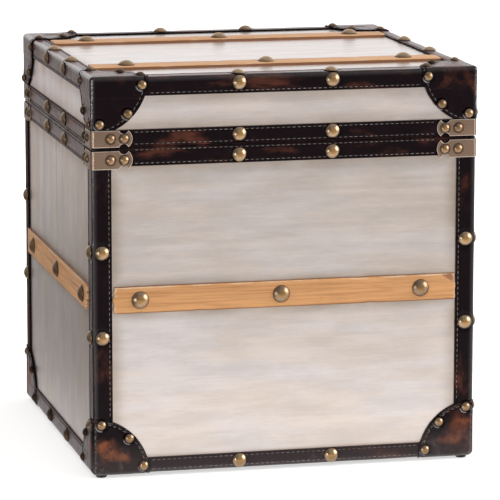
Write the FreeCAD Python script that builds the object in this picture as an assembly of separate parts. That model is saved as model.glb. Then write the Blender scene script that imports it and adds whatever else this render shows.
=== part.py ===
# A small square trunk: a wooden chest and a hinged wooden lid, clad in thin metal sheet,
# with leather bindings along every edge, leather corner covers, metal corner clips, wooden
# slats and rows of domed nails. Millimetres, +Z up, the front faces -Y, and the origin is
# on the floor under the middle of the trunk.
import FreeCAD
import Part
import math
import os

Vector = FreeCAD.Vector

# Trunk, measured over the bindings, and the line where the lid meets the chest
trunk_width = 454.0
trunk_depth = 441.0
trunk_height = 460.0
lid_height = 80.0
seam_gap = 0.8
edge_round = 3.2

# Carcass: boards, the metal sheet outside them and the lining inside them
board_thickness = 12.0
sheet_thickness = 0.8
lining_thickness = 1.2

# Leather bindings: one thickness, and the width of each leg
binding_thickness = 1.8
edge_leg = 22.8
bottom_leg_front = 17.8
bottom_leg_side = 22.0
bottom_leg_under = 24.0
chest_rim_leg = 21.4
lid_rim_leg = 19.6
lid_leg_face = 21.8
lid_leg_top_front = 21.0
lid_leg_top_side = 17.4

# Leather corner covers, round about the trunk's corners
cover_proud = 1.4
cover_radius = 66.0
cover_nail_far = 58.5
cover_nail_near = 9.2
cover_nail_middle = 41.8
cover_nail_margin = 0.9

# Corner clips of the lid rim and the chest rim
clip_thickness = 0.9
clip_reach = 47.4
clip_height_chest = 20.9
clip_height_lid = 19.2
clip_drop = 3.5
clip_notch_place = 37.2
clip_notch_half = 5.3
clip_notch_depth = 3.8
clip_nail_first = 21.8
clip_nail_second = 37.7

# Wooden slats round the chest and across the lid
slat_width = 31.0
slat_thickness = 3.5
slat_round = 0.7
slat_end_gap = 0.6
chest_slat_height = 203.5
lid_slat_inset = 98.0
chest_slat_nail_shares = (0.078, 0.486, 0.895)
lid_slat_nail_shares = (0.102, 0.5, 0.898)

# Domed nails: head radius, head height and shank length of each size
large_head = 10.2
large_dome = 5.5
large_shank = 12.0
medium_head = 8.5
medium_dome = 4.8
medium_shank = 7.5
small_head = 5.6
small_dome = 3.4
small_shank = 8.0
shank_radius = 1.0
shank_clearance = 0.05
nail_pair_half = 54.9
lid_face_nail_drop = 9.5
lid_top_nail_inset = 8.7
lid_rim_nail_rise = 11.2
chest_rim_nail_drop = 12.4
edge_nail_low = 160.0
edge_nail_high = 259.0

# Glides under the chest
glide_height = 3.0
glide_radius = 6.5
glide_round = 1.0
glide_inset = 11.0
glide_shank = 10.0

# Hinges behind the rims, each midway between the rims' nails and a clip
hinge_length = 50.0
hinge_leaf_height = 17.5
hinge_leaf_thickness = 1.4
knuckle_radius = 2.9
pin_radius = 1.4
pin_head_radius = 2.3
pin_head_length = 1.0
hinge_clearance = 0.3
pin_clearance = 0.05
screw_head = 3.0
screw_shank = 1.6
screw_length = 12.0
screw_spread = 17.0
screw_drop = 10.5
screw_slot_width = 0.8
screw_slot_depth = 0.6

# One overrun serves every cut, and places closer than the tolerance are one place
overrun = 5.0
tolerance = 0.01

# Planes that the pieces share
half_width = trunk_width / 2
half_depth = trunk_depth / 2
hinge_middle = (nail_pair_half + medium_head + half_width - clip_reach) / 2
base_z = glide_height + cover_proud
top_z = base_z + trunk_height
seam_z = top_z - lid_height
chest_rim_z = seam_z - seam_gap / 2
lid_rim_z = seam_z + seam_gap / 2
skin = binding_thickness + sheet_thickness
wall = skin + board_thickness
hollow = wall + lining_thickness


def block(x, y, z):
    """A block between low and high places along each axis."""
    return Part.makeBox(x[1] - x[0], y[1] - y[0], z[1] - z[0], Vector(x[0], y[0], z[0]))


def centred(inset, z):
    """A block over the trunk's plan, set in from the binding plane all round."""
    x = half_width - inset
    y = half_depth - inset
    return block((-x, x), (-y, y), z)


def rounded(z_low, z_high, open_z, grow=0.0):
    """The trunk's plan between two heights, its edges rounded but for those at open_z."""
    raw = centred(-grow, (z_low, z_high))
    edges = [e for e in raw.Edges if any(abs(v.Z - open_z) > tolerance for v in e.Vertexes)]
    return raw.makeFillet(edge_round + grow, edges)


def upright(z, grow=0.0):
    """The trunk's plan between two heights, only its upright edges rounded."""
    raw = centred(-grow, z)
    edges = [e for e in raw.Edges if abs(e.Vertexes[0].Z - e.Vertexes[-1].Z) > tolerance]
    return raw.makeFillet(edge_round + grow, edges)


def prism(points, direction):
    """The solid that a flat outline sweeps along a direction."""
    wire = Part.makePolygon([Vector(*p) for p in points] + [Vector(*points[0])])
    return Part.Face(wire).extrude(Vector(*direction))


def turned(points):
    """The solid of revolution of a half outline of (radius, height) about the Z axis."""
    wire = Part.makePolygon([Vector(r, 0, z) for r, z in points] + [Vector(points[0][0], 0, points[0][1])])
    return Part.Face(wire).revolve(Vector(0, 0, 0), Vector(0, 0, 1), 360)


def one(shape):
    """The single solid of a cut, or all of them as one compound."""
    return shape.Solids[0] if len(shape.Solids) == 1 else Part.makeCompound(shape.Solids)


def mirrored(shape, side_x, side_y):
    """A piece of the front left corner, carried to another corner."""
    if side_x > 0:
        shape = shape.mirror(Vector(0, 0, 0), Vector(1, 0, 0))
    if side_y > 0:
        shape = shape.mirror(Vector(0, 0, 0), Vector(0, 1, 0))
    return shape


corners = {"front_left": (-1, -1), "front_right": (1, -1), "back_left": (-1, 1), "back_right": (1, 1)}
facings = {"front": (0, -1), "back": (0, 1), "left": (-1, 0), "right": (1, 0)}


def wall_panels(inset, thickness, z):
    """Four upright panels round the plan: front and back run full, the sides lie between."""
    x = half_width - inset
    y = half_depth - inset
    inner = y - thickness
    return {
        "front": block((-x, x), (-y, -inner), z),
        "back": block((-x, x), (inner, y), z),
        "left": block((-x, -x + thickness), (-inner, inner), z),
        "right": block((x - thickness, x), (-inner, inner), z),
    }


def edge_strips(front_leg, side_leg, z_face_front, z_face_side):
    """Mitred wedges of the plan, one along each side, between the heights that each face has."""
    x = half_width + overrun
    y = half_depth + overrun * front_leg / side_leg
    inner_x, inner_y = half_width - side_leg, half_depth - front_leg
    low, high = z_face_front
    front = prism([(-x, -y, low), (x, -y, low), (inner_x, -inner_y, low), (-inner_x, -inner_y, low)],
                  (0, 0, high - low))
    low, high = z_face_side
    left = prism([(-x, -y, low), (-inner_x, -inner_y, low), (-inner_x, inner_y, low), (-x, y, low)],
                 (0, 0, high - low))
    return {
        "front": front,
        "back": front.mirror(Vector(0, 0, 0), Vector(0, 1, 0)),
        "left": left,
        "right": left.mirror(Vector(0, 0, 0), Vector(1, 0, 0)),
    }


# Chest

def chest_boards():
    floor_z = base_z + binding_thickness
    bottom = centred(skin, (floor_z, floor_z + board_thickness))
    walls = wall_panels(skin, board_thickness, (floor_z + board_thickness, chest_rim_z - binding_thickness))
    pieces = {"bottom_board": bottom}
    for side, panel in walls.items():
        pieces[side + "_board"] = panel
    return pieces


def chest_sheets():
    panels = wall_panels(binding_thickness, sheet_thickness,
                         (base_z + binding_thickness, chest_rim_z - binding_thickness))
    return {side + "_sheet": panel for side, panel in panels.items()}


def chest_lining():
    floor_z = base_z + binding_thickness + board_thickness
    floor = centred(wall, (floor_z, floor_z + lining_thickness))
    walls = wall_panels(wall, lining_thickness, (floor_z + lining_thickness, chest_rim_z - binding_thickness))
    return Part.makeCompound([floor] + list(walls.values()))


def chest_leather():
    """Rim, bottom and upright bindings and the corner covers of the chest."""
    body = rounded(base_z, chest_rim_z, chest_rim_z)
    core = centred(binding_thickness, (base_z + binding_thickness, chest_rim_z - binding_thickness))
    shell = body.cut(core)
    rim_low = chest_rim_z - chest_rim_leg
    mouth = centred(hollow, (base_z + binding_thickness, chest_rim_z + overrun))
    rim = shell.common(centred(-overrun, (rim_low, chest_rim_z))).cut(mouth)
    pieces = {"chest_rim_binding": one(rim)}
    strips = edge_strips(bottom_leg_under, bottom_leg_under, (base_z, base_z + bottom_leg_front),
                         (base_z, base_z + bottom_leg_side))
    bottoms = {side: one(shell.common(strip)) for side, strip in strips.items()}
    for side, strip in bottoms.items():
        pieces["bottom_binding_" + side] = strip
    post = block((-half_width - overrun, -half_width + edge_leg),
                 (-half_depth - overrun, -half_depth + edge_leg), (base_z, rim_low))
    edge_strip = one(shell.common(post).cut([bottoms["front"], bottoms["left"]]))
    proud = rounded(base_z - cover_proud, chest_rim_z, chest_rim_z, cover_proud)
    ball = Part.makeSphere(cover_radius, Vector(-half_width, -half_depth, base_z))
    cover = one(proud.common(ball).cut([core, edge_strip, bottoms["front"], bottoms["left"]]))
    for corner, (side_x, side_y) in corners.items():
        pieces["edge_binding_" + corner] = mirrored(edge_strip, side_x, side_y)
        pieces["bottom_cover_" + corner] = mirrored(cover, side_x, side_y)
    return pieces


# Lid

def lid_boards():
    top = top_z - skin
    pieces = {"lid_top_board": centred(skin, (top - board_thickness, top))}
    rails = wall_panels(skin, board_thickness, (lid_rim_z + binding_thickness, top - board_thickness))
    for side, rail in rails.items():
        pieces["lid_%s_rail" % side] = rail
    return pieces


def lid_sheets():
    top = top_z - binding_thickness
    panels = wall_panels(binding_thickness, sheet_thickness,
                         (lid_rim_z + binding_thickness, top - sheet_thickness))
    return {
        "lid_top_sheet": centred(binding_thickness, (top - sheet_thickness, top)),
        "lid_side_sheets": Part.makeCompound(list(panels.values())),
    }


def lid_lining():
    ceiling_z = top_z - skin - board_thickness
    ceiling = centred(wall, (ceiling_z - lining_thickness, ceiling_z))
    walls = wall_panels(wall, lining_thickness, (lid_rim_z + binding_thickness, ceiling_z - lining_thickness))
    return Part.makeCompound([ceiling] + list(walls.values()))


def lid_leather():
    """Rim and top bindings and the corner covers of the lid."""
    body = rounded(lid_rim_z, top_z, lid_rim_z)
    core = centred(binding_thickness, (lid_rim_z + binding_thickness, top_z - binding_thickness))
    shell = body.cut(core)
    rim_high = lid_rim_z + lid_rim_leg
    mouth = centred(hollow, (lid_rim_z - overrun, top_z - binding_thickness))
    rim = shell.common(centred(-overrun, (lid_rim_z, rim_high))).cut(mouth)
    pieces = {"lid_rim_binding": one(rim)}
    face = (top_z - lid_leg_face, top_z)
    strips = edge_strips(lid_leg_top_front, lid_leg_top_side, face, face)
    tops = {side: one(shell.common(strip)) for side, strip in strips.items()}
    for side, strip in tops.items():
        pieces["lid_binding_" + side] = strip
    proud = rounded(lid_rim_z, top_z + cover_proud, lid_rim_z, cover_proud)
    ball = Part.makeSphere(cover_radius, Vector(-half_width, -half_depth, top_z))
    above_rim = centred(-overrun, (rim_high, top_z + overrun))
    cover = one(proud.common(ball).common(above_rim).cut([core, tops["front"], tops["left"]]))
    for corner, (side_x, side_y) in corners.items():
        pieces["lid_cover_" + corner] = mirrored(cover, side_x, side_y)
    return pieces


# Corner clips

def clip_outline(height):
    """One leg of a clip as a face: u runs from the corner along the leg, v is height from its middle."""
    top = height / 2
    tip = clip_notch_place + clip_notch_half
    start = clip_notch_place - clip_notch_half
    dip = top - clip_notch_depth
    return [
        Part.LineSegment(Vector(-overrun, -top, 0), Vector(start, -top, 0)).toShape(),
        Part.Arc(Vector(start, -top, 0), Vector(clip_notch_place, -dip, 0), Vector(tip, -top, 0)).toShape(),
        Part.Arc(Vector(tip, -top, 0), Vector(clip_reach, 0, 0), Vector(tip, top, 0)).toShape(),
        Part.Arc(Vector(tip, top, 0), Vector(clip_notch_place, dip, 0), Vector(start, top, 0)).toShape(),
        Part.LineSegment(Vector(start, top, 0), Vector(-overrun, top, 0)).toShape(),
        Part.LineSegment(Vector(-overrun, top, 0), Vector(-overrun, -top, 0)).toShape(),
    ]


def clips(middle_z, height):
    """Four bent clips that wrap the corners at one height."""
    flat = Part.Face(Part.Wire(clip_outline(height)))
    stand = FreeCAD.Rotation(Vector(1, 0, 0), 90)
    front = flat.copy()
    front.Placement = FreeCAD.Placement(Vector(-half_width, -half_depth + clip_reach, middle_z), stand)
    front = front.extrude(Vector(0, -clip_reach - overrun, 0))
    side = flat.copy()
    quarter = FreeCAD.Rotation(Vector(0, 0, 1), 90)
    side.Placement = FreeCAD.Placement(Vector(-half_width + clip_reach, -half_depth, middle_z),
                                       quarter * stand)
    side = side.extrude(Vector(-clip_reach - overrun, 0, 0))
    z = (middle_z - height, middle_z + height)
    clip = one(upright(z, clip_thickness).common(front).common(side).cut(upright(z)))
    return Part.makeCompound([mirrored(clip, *signs) for signs in corners.values()])


# Slats

def soft_slat(x, y, z, outward):
    """A slat with the long edges of its outer face rounded, which is the face furthest outward."""
    raw = block(x, y, z)
    outward = Vector(*outward)
    face_place = max(v.Point.dot(outward) for v in raw.Vertexes)
    longest = max(e.Length for e in raw.Edges)
    edges = [e for e in raw.Edges if longest - e.Length < tolerance
             and abs(e.CenterOfMass.dot(outward) - face_place) < tolerance]
    return raw.makeFillet(slat_round, edges)


def chest_slats():
    z = (base_z + chest_slat_height - slat_width / 2, base_z + chest_slat_height + slat_width / 2)
    long_x = half_width - edge_leg - slat_end_gap
    long_y = half_depth - edge_leg - slat_end_gap
    face_x = half_width - binding_thickness
    face_y = half_depth - binding_thickness
    return {
        "slat_front": soft_slat((-long_x, long_x), (-face_y - slat_thickness, -face_y), z, (0, -1, 0)),
        "slat_back": soft_slat((-long_x, long_x), (face_y, face_y + slat_thickness), z, (0, 1, 0)),
        "slat_left": soft_slat((-face_x - slat_thickness, -face_x), (-long_y, long_y), z, (-1, 0, 0)),
        "slat_right": soft_slat((face_x, face_x + slat_thickness), (-long_y, long_y), z, (1, 0, 0)),
    }


def lid_slats():
    z = (top_z - binding_thickness, top_z - binding_thickness + slat_thickness)
    long_x = half_width - lid_leg_top_side - slat_end_gap
    middle = half_depth - lid_slat_inset
    half = slat_width / 2
    return {
        "lid_slat_front": soft_slat((-long_x, long_x), (-middle - half, -middle + half), z, (0, 0, 1)),
        "lid_slat_back": soft_slat((-long_x, long_x), (middle - half, middle + half), z, (0, 0, 1)),
    }


# Nails: each place is a point under the head and the face's outward direction

def domed_nail(head, dome, shank):
    """A domed nail along Z, its head's flat underside at height zero."""
    ball = (head ** 2 + dome ** 2) / (2 * dome)
    slant = math.asin(head / ball) / 2
    knee = Vector(ball * math.sin(slant), 0, dome - ball + ball * math.cos(slant))
    arc = Part.Arc(Vector(head, 0, 0), knee, Vector(0, 0, dome)).toShape()
    corners_below = [Vector(0, 0, dome), Vector(0, 0, -shank), Vector(shank_radius, 0, -shank + shank_radius),
                     Vector(shank_radius, 0, 0), Vector(head, 0, 0)]
    return Part.Face(Part.Wire([arc] + Part.makePolygon(corners_below).Edges)).revolve(
        Vector(0, 0, 0), Vector(0, 0, 1), 360)


def placed(shape, point, outward):
    """A piece made along Z, moved to a point and turned to face outward."""
    copy = shape.copy()
    copy.Placement = FreeCAD.Placement(Vector(*point), FreeCAD.Rotation(Vector(0, 0, 1), Vector(*outward)))
    return copy


def face_point(side, along, z, lift):
    """A point on an upright face: along runs with X or Y, lift is out from the binding plane."""
    out_x, out_y = facings[side]
    x = out_x * (half_width + lift) if out_x else along
    y = out_y * (half_depth + lift) if out_y else along
    return (x, y, z), (out_x, out_y, 0)


def side_half(side):
    """Half the length of an upright face."""
    return half_width if side in ("front", "back") else half_depth


def binding_nail_places():
    """Medium nails of the bindings, as places on the chest and places on the lid."""
    chest, lid = [], []
    for side in facings:
        bottom_leg = bottom_leg_front if side in ("front", "back") else bottom_leg_side
        for sign in (-1, 1):
            pair = sign * nail_pair_half
            chest.append(face_point(side, pair, base_z + bottom_leg / 2, 0))
            chest.append(face_point(side, pair, seam_z - chest_rim_nail_drop, 0))
            lid.append(face_point(side, pair, seam_z + lid_rim_nail_rise, 0))
            lid.append(face_point(side, pair, top_z - lid_face_nail_drop, 0))
            edge = sign * (side_half(side) - edge_leg / 2)
            chest.append(face_point(side, edge, base_z + edge_nail_low, 0))
            chest.append(face_point(side, edge, base_z + edge_nail_high, 0))
    for sign in (-1, 1):
        for other in (-1, 1):
            lid.append(((sign * nail_pair_half, other * (half_depth - lid_top_nail_inset), top_z), (0, 0, 1)))
            lid.append(((other * (half_width - lid_top_nail_inset), sign * nail_pair_half, top_z), (0, 0, 1)))
    return chest, lid


def slat_nail_places():
    """Large nails of the slats, as places on the chest and places on the lid."""
    lift = slat_thickness - binding_thickness
    chest, lid = [], []
    for side in facings:
        reach = side_half(side) - edge_leg - slat_end_gap
        for share in chest_slat_nail_shares:
            chest.append(face_point(side, (2 * share - 1) * reach, base_z + chest_slat_height, lift))
    reach = half_width - lid_leg_top_side - slat_end_gap
    for share in lid_slat_nail_shares:
        for sign in (-1, 1):
            spot = ((2 * share - 1) * reach, sign * (half_depth - lid_slat_inset), top_z + lift)
            lid.append((spot, (0, 0, 1)))
    return chest, lid


def small_nail_places():
    """Small nails of the corner covers and the clips, as places on the chest and on the lid."""
    chest, lid = [], []
    lid_low = lid_height - seam_gap / 2 - lid_rim_leg - small_head - cover_nail_margin
    for side in facings:
        for sign in (-1, 1):
            end = side_half(side)
            for along, height in ((cover_nail_far, cover_nail_near), (cover_nail_middle, cover_nail_middle),
                                  (cover_nail_near, cover_nail_far)):
                chest.append(face_point(side, sign * (end - along), base_z + height, cover_proud))
                lid.append(face_point(side, sign * (end - along), top_z - min(height, lid_low), cover_proud))
            for along in (clip_nail_first, clip_nail_second):
                spot = sign * (end - along)
                chest.append(face_point(side, spot, chest_clip_middle, clip_thickness))
                lid.append(face_point(side, spot, lid_clip_middle, clip_thickness))
    for sign_x, sign_y in corners.values():
        for along, inset in ((cover_nail_far, cover_nail_near), (cover_nail_middle, cover_nail_middle),
                             (cover_nail_near, cover_nail_far)):
            lid.append(((sign_x * (half_width - along), sign_y * (half_depth - inset), top_z + cover_proud),
                        (0, 0, 1)))
    return chest, lid


chest_clip_middle = chest_rim_z - clip_drop - clip_height_chest / 2
lid_clip_middle = lid_rim_z + clip_height_lid / 2


# Glides

def glide():
    """A nail-on glide along Z: its pad below, its shank above."""
    tip = glide_height + glide_shank
    return turned([(0, 0), (glide_radius - glide_round, 0), (glide_radius, glide_round),
                   (glide_radius, glide_height), (shank_radius, glide_height),
                   (shank_radius, tip - shank_radius), (0, tip)])


def glide_set():
    """The four glides and the holes for their shanks."""
    pads, holes = [], []
    pad, hole = glide(), shank_hole(glide_shank)
    for sign_x, sign_y in corners.values():
        x = sign_x * (half_width - glide_inset)
        y = sign_y * (half_depth - glide_inset)
        pads.append(placed(pad, (x, y, 0), (0, 0, 1)))
        holes.append(placed(hole, (x, y, glide_height), (0, 0, -1)))
    return pads, holes


# Hinges: three knuckles on a pin, the outer two on the chest's leaf

hinge_y = half_depth + knuckle_radius + hinge_clearance
knuckle_length = (hinge_length - 2 * hinge_clearance) / 3


def knuckle_spans():
    """Low and high places of the three knuckles from the hinge's middle."""
    step = knuckle_length + hinge_clearance
    return [(i * step - knuckle_length / 2, i * step + knuckle_length / 2) for i in (-1, 0, 1)]


def tube_x(radius, low, high):
    """A round bar along X on the hinge's axis."""
    return Part.makeCylinder(radius, high - low, Vector(low, hinge_y, seam_z), Vector(1, 0, 0))


def leaf(up, own, other):
    """A hinge leaf about X zero: its plate lies on the rim, its own knuckles are on the axis."""
    far = seam_z + up * hinge_leaf_height
    z = (min(seam_z, far), max(seam_z, far))
    plate = block((-hinge_length / 2, hinge_length / 2), (half_depth, half_depth + hinge_leaf_thickness), z)
    for low, high in other:
        relief = tube_x(knuckle_radius + 2 * hinge_clearance, low - hinge_clearance, high + hinge_clearance)
        plate = plate.cut(relief)
    for low, high in own:
        plate = plate.fuse(tube_x(knuckle_radius, low, high))
    plate = plate.removeSplitter()
    bore = tube_x(pin_radius + pin_clearance, -hinge_length, hinge_length)
    places = screw_places(up)
    return one(plate.cut([bore] + [placed(screw_hole(), point, outward) for point, outward in places]))


def screw_places(up):
    """The screws of one leaf about X zero, at the leaf's outer face."""
    y = half_depth + hinge_leaf_thickness
    z = seam_z + up * screw_drop
    return [((x, y, z), (0, 1, 0)) for x in (-screw_spread, 0, screw_spread)]


def screw():
    """A countersunk screw along Z, its head's flat top at height zero."""
    neck = screw_head - screw_shank
    solid = turned([(0, 0), (screw_head, 0), (screw_shank, -neck), (screw_shank, -screw_length + screw_shank),
                    (0, -screw_length)])
    slot = block((-screw_head - overrun, screw_head + overrun), (-screw_slot_width / 2, screw_slot_width / 2),
                 (-screw_slot_depth, overrun))
    return one(solid.cut(slot))


def screw_hole():
    """The hole that a screw fills, with a little room all round."""
    head, shank = screw_head + shank_clearance, screw_shank + shank_clearance
    neck = head - shank
    return turned([(0, overrun), (head, overrun), (head, 0), (shank, -neck),
                   (shank, -screw_length - shank_clearance), (0, -screw_length - shank_clearance)])


def hinge_pin():
    """A pin with a flat head at each end, about X zero."""
    half = hinge_length / 2
    return one(tube_x(pin_radius, -half, half).fuse(
        [tube_x(pin_head_radius, -half - pin_head_length, -half),
         tube_x(pin_head_radius, half, half + pin_head_length)]).removeSplitter())


def at_hinges(shape):
    """Copies of a piece at both hinges."""
    copies = []
    for sign in (-1, 1):
        copy = shape.copy()
        copy.translate(Vector(sign * hinge_middle, 0, 0))
        copies.append(copy)
    return copies


def hinge_screws(up):
    """Screws of both hinges' leaves on one rim, as solids and as the holes for them."""
    solids, holes = [], []
    for point, outward in screw_places(up):
        solids += at_hinges(placed(screw(), point, outward))
        holes += at_hinges(placed(screw_hole(), point, outward))
    return solids, holes


# Drilling

def shank_hole(length):
    """The hole that a nail's shank fills, along Z from just outside the leather."""
    depth = length + shank_clearance
    return Part.makeCylinder(shank_radius + shank_clearance, depth + overrun, Vector(0, 0, -depth))


def drilled(shape, holes):
    """A piece with the holes that reach it."""
    near = [hole for hole in holes if hole.BoundBox.intersect(shape.BoundBox)]
    return shape.cut(near) if near else shape


def nail_set(places, head, dome, shank):
    """Nails at their places, and the holes for their shanks."""
    nail, hole = domed_nail(head, dome, shank), shank_hole(shank)
    return [placed(nail, *place) for place in places], [placed(hole, *place) for place in places]


def layers(pieces, holes):
    """Drill boards, sheets, leather, clips and slats with the holes of one body."""
    out = {}
    for name, shape in pieces.items():
        solids = [solid for part in shape.Solids for solid in drilled(part, holes).Solids]
        out[name] = Part.makeCompound(solids) if len(solids) > 1 else solids[0]
    return out


def build():
    """Every node of the trunk by name."""
    nail_groups = {
        "binding_nails": (binding_nail_places(), medium_head, medium_dome, medium_shank),
        "slat_nails": (slat_nail_places(), large_head, large_dome, large_shank),
        "small_nails": (small_nail_places(), small_head, small_dome, small_shank),
    }
    chest = {}
    chest.update(chest_boards())
    chest.update(chest_sheets())
    chest.update(chest_leather())
    chest.update(chest_slats())
    chest["chest_corner_clips"] = clips(chest_clip_middle, clip_height_chest)
    lid = {}
    lid.update(lid_boards())
    lid.update(lid_sheets())
    lid.update(lid_leather())
    lid.update(lid_slats())
    lid["lid_corner_clips"] = clips(lid_clip_middle, clip_height_lid)

    pads, pad_holes = glide_set()
    screws_chest, screw_holes_chest = hinge_screws(-1)
    screws_lid, screw_holes_lid = hinge_screws(1)
    chest_holes = pad_holes + screw_holes_chest
    lid_holes = list(screw_holes_lid)
    fasteners = {}
    for group, ((on_chest, on_lid), head, dome, shank) in nail_groups.items():
        nails, holes = nail_set(on_chest, head, dome, shank)
        fasteners["chest_" + group] = Part.makeCompound(nails)
        chest_holes += holes
        nails, holes = nail_set(on_lid, head, dome, shank)
        fasteners["lid_" + group] = Part.makeCompound(nails)
        lid_holes += holes

    spans = knuckle_spans()
    outer_spans, inner_spans = [spans[0], spans[2]], [spans[1]]
    nodes = layers(chest, chest_holes)
    nodes.update(layers(lid, lid_holes))
    nodes.update(fasteners)
    nodes["chest_lining"] = chest_lining()
    nodes["lid_lining"] = lid_lining()
    nodes["glides"] = Part.makeCompound(pads)
    nodes["hinge_chest_leaves"] = Part.makeCompound(at_hinges(leaf(-1, outer_spans, inner_spans)))
    nodes["hinge_lid_leaves"] = Part.makeCompound(at_hinges(leaf(1, inner_spans, outer_spans)))
    nodes["hinge_pins"] = Part.makeCompound(at_hinges(hinge_pin()))
    nodes["hinge_screws_chest"] = Part.makeCompound(screws_chest)
    nodes["hinge_screws_lid"] = Part.makeCompound(screws_lid)
    return nodes


os.makedirs("parts", exist_ok=True)
for name, shape in build().items():
    shape.exportStep(os.path.join("parts", name + ".step"))
    print(name, len(shape.Solids), "solids, valid" if shape.isValid() else "solids, NOT VALID",
          round(shape.Volume / 1000.0, 2), "cc")
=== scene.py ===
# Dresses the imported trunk: brushed metal sheets, stitched dark leather, corner clips, domed
# nails, worn wooden slats, a cloth lining, and the studio that it is seen in.
# Metres, in the trunk's own frame: +Z up, the front faces -Y, the origin on the floor.
import math

import bmesh
import bpy
import numpy as np
from bpy.props import FloatProperty, FloatVectorProperty, IntProperty, PointerProperty
from bpy.types import Operator, Panel, PropertyGroup
from mathutils import Matrix, Vector
from mathutils.bvhtree import BVHTree


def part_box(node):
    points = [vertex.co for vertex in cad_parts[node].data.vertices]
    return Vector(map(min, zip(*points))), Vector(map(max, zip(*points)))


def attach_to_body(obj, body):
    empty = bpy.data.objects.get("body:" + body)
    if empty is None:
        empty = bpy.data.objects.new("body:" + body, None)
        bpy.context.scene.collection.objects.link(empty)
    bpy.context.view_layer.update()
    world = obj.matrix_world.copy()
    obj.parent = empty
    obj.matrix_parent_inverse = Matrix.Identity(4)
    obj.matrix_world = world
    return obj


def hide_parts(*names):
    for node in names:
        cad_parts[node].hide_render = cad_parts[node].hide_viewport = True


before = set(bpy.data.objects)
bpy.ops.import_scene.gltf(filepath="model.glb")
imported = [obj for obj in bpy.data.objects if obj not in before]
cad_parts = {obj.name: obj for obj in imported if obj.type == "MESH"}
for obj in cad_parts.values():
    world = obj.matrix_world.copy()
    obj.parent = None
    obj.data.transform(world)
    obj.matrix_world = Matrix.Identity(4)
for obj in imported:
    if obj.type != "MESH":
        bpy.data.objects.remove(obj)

bl_info = {
    "name": "Metal clad trunk",
    "version": (1, 0, 0),
    "blender": (4, 5, 0),
    "location": "3D View > Sidebar > Trunk",
    "description": "Dresses the packed trunk with leather, stitching, nails, slats, clips and finishes",
    "category": "Object",
}

# Places that the frame gives, all measured over the leather bindings
half_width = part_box("chest_rim_binding")[1].x
half_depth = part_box("chest_rim_binding")[1].y
base_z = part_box("bottom_binding_front")[0].z
top_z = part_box("lid_binding_front")[1].z
chest_rim_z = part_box("chest_rim_binding")[1].z
chest_rim_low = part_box("chest_rim_binding")[0].z
lid_rim_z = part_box("lid_rim_binding")[0].z
lid_rim_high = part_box("lid_rim_binding")[1].z
binding_thickness = half_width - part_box("right_sheet")[1].x
edge_leg = half_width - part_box("edge_binding_front_right")[0].x
bottom_leg_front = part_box("bottom_binding_front")[1].z - base_z
bottom_leg_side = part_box("bottom_binding_left")[1].z - base_z
bottom_leg_under = half_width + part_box("bottom_binding_left")[1].x
lid_leg_face = top_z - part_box("lid_binding_front")[0].z
lid_leg_top_front = half_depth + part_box("lid_binding_front")[1].y
lid_leg_top_side = half_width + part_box("lid_binding_left")[1].x
cover_proud = -half_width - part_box("bottom_cover_front_left")[0].x
cover_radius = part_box("bottom_cover_front_left")[1].x + half_width
clip_reach = half_width - min(abs(v.co.x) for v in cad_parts["chest_corner_clips"].data.vertices
                              if abs(v.co.y) > half_depth)
faces = {"front": (0, -1, 0), "back": (0, 1, 0), "left": (-1, 0, 0), "right": (1, 0, 0)}
corner_signs = {"front_left": (-1, -1), "front_right": (1, -1), "back_left": (-1, 1), "back_right": (1, 1)}

# Fine measures of the meshes
merge_distance = 1e-6  # points nearer to each other than this are one
leather_turn = 0.0005  # rounding of the leather's open borders
border_shade_width = 0.0012  # width of the painted shade line along an open border
seam_spread = 0.0009  # half width of a seam's groove
seam_rows = (-0.0019, -0.0009, 0.0, 0.0009, 0.0019)  # rows of the mesh beside a seam
turn_rows = (0.25, 0.6, 1.0)  # rows of the mesh on a turn, as shares of its radius
strip_fade, strip_step = 0.004, 0.0006  # how a cover sinks past the strips below it: run and depth
swell_reach = 0.0032  # from a nail's head to the crest of the leather round it
nail_surround = 2.6  # how far a nail changes the leather round it, in radii of its head
far_off = 9.0  # what stands for a nail that is too far to matter, in radii of its head
slat_cell, slat_row = 0.0035, 0.0024  # spacing of a slat's mesh along and across it
torn_reach = 0.014  # how far from a slat's end its fibres are drawn back
cloth_cell, cloth_thickness = 0.011, 0.0008
shade_black = (0.003, 0.002, 0.002, 1)  # painted shade on the leather: in a seam, along an open border, where its polish has gone and under the rim of a nail


# Settings

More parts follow.
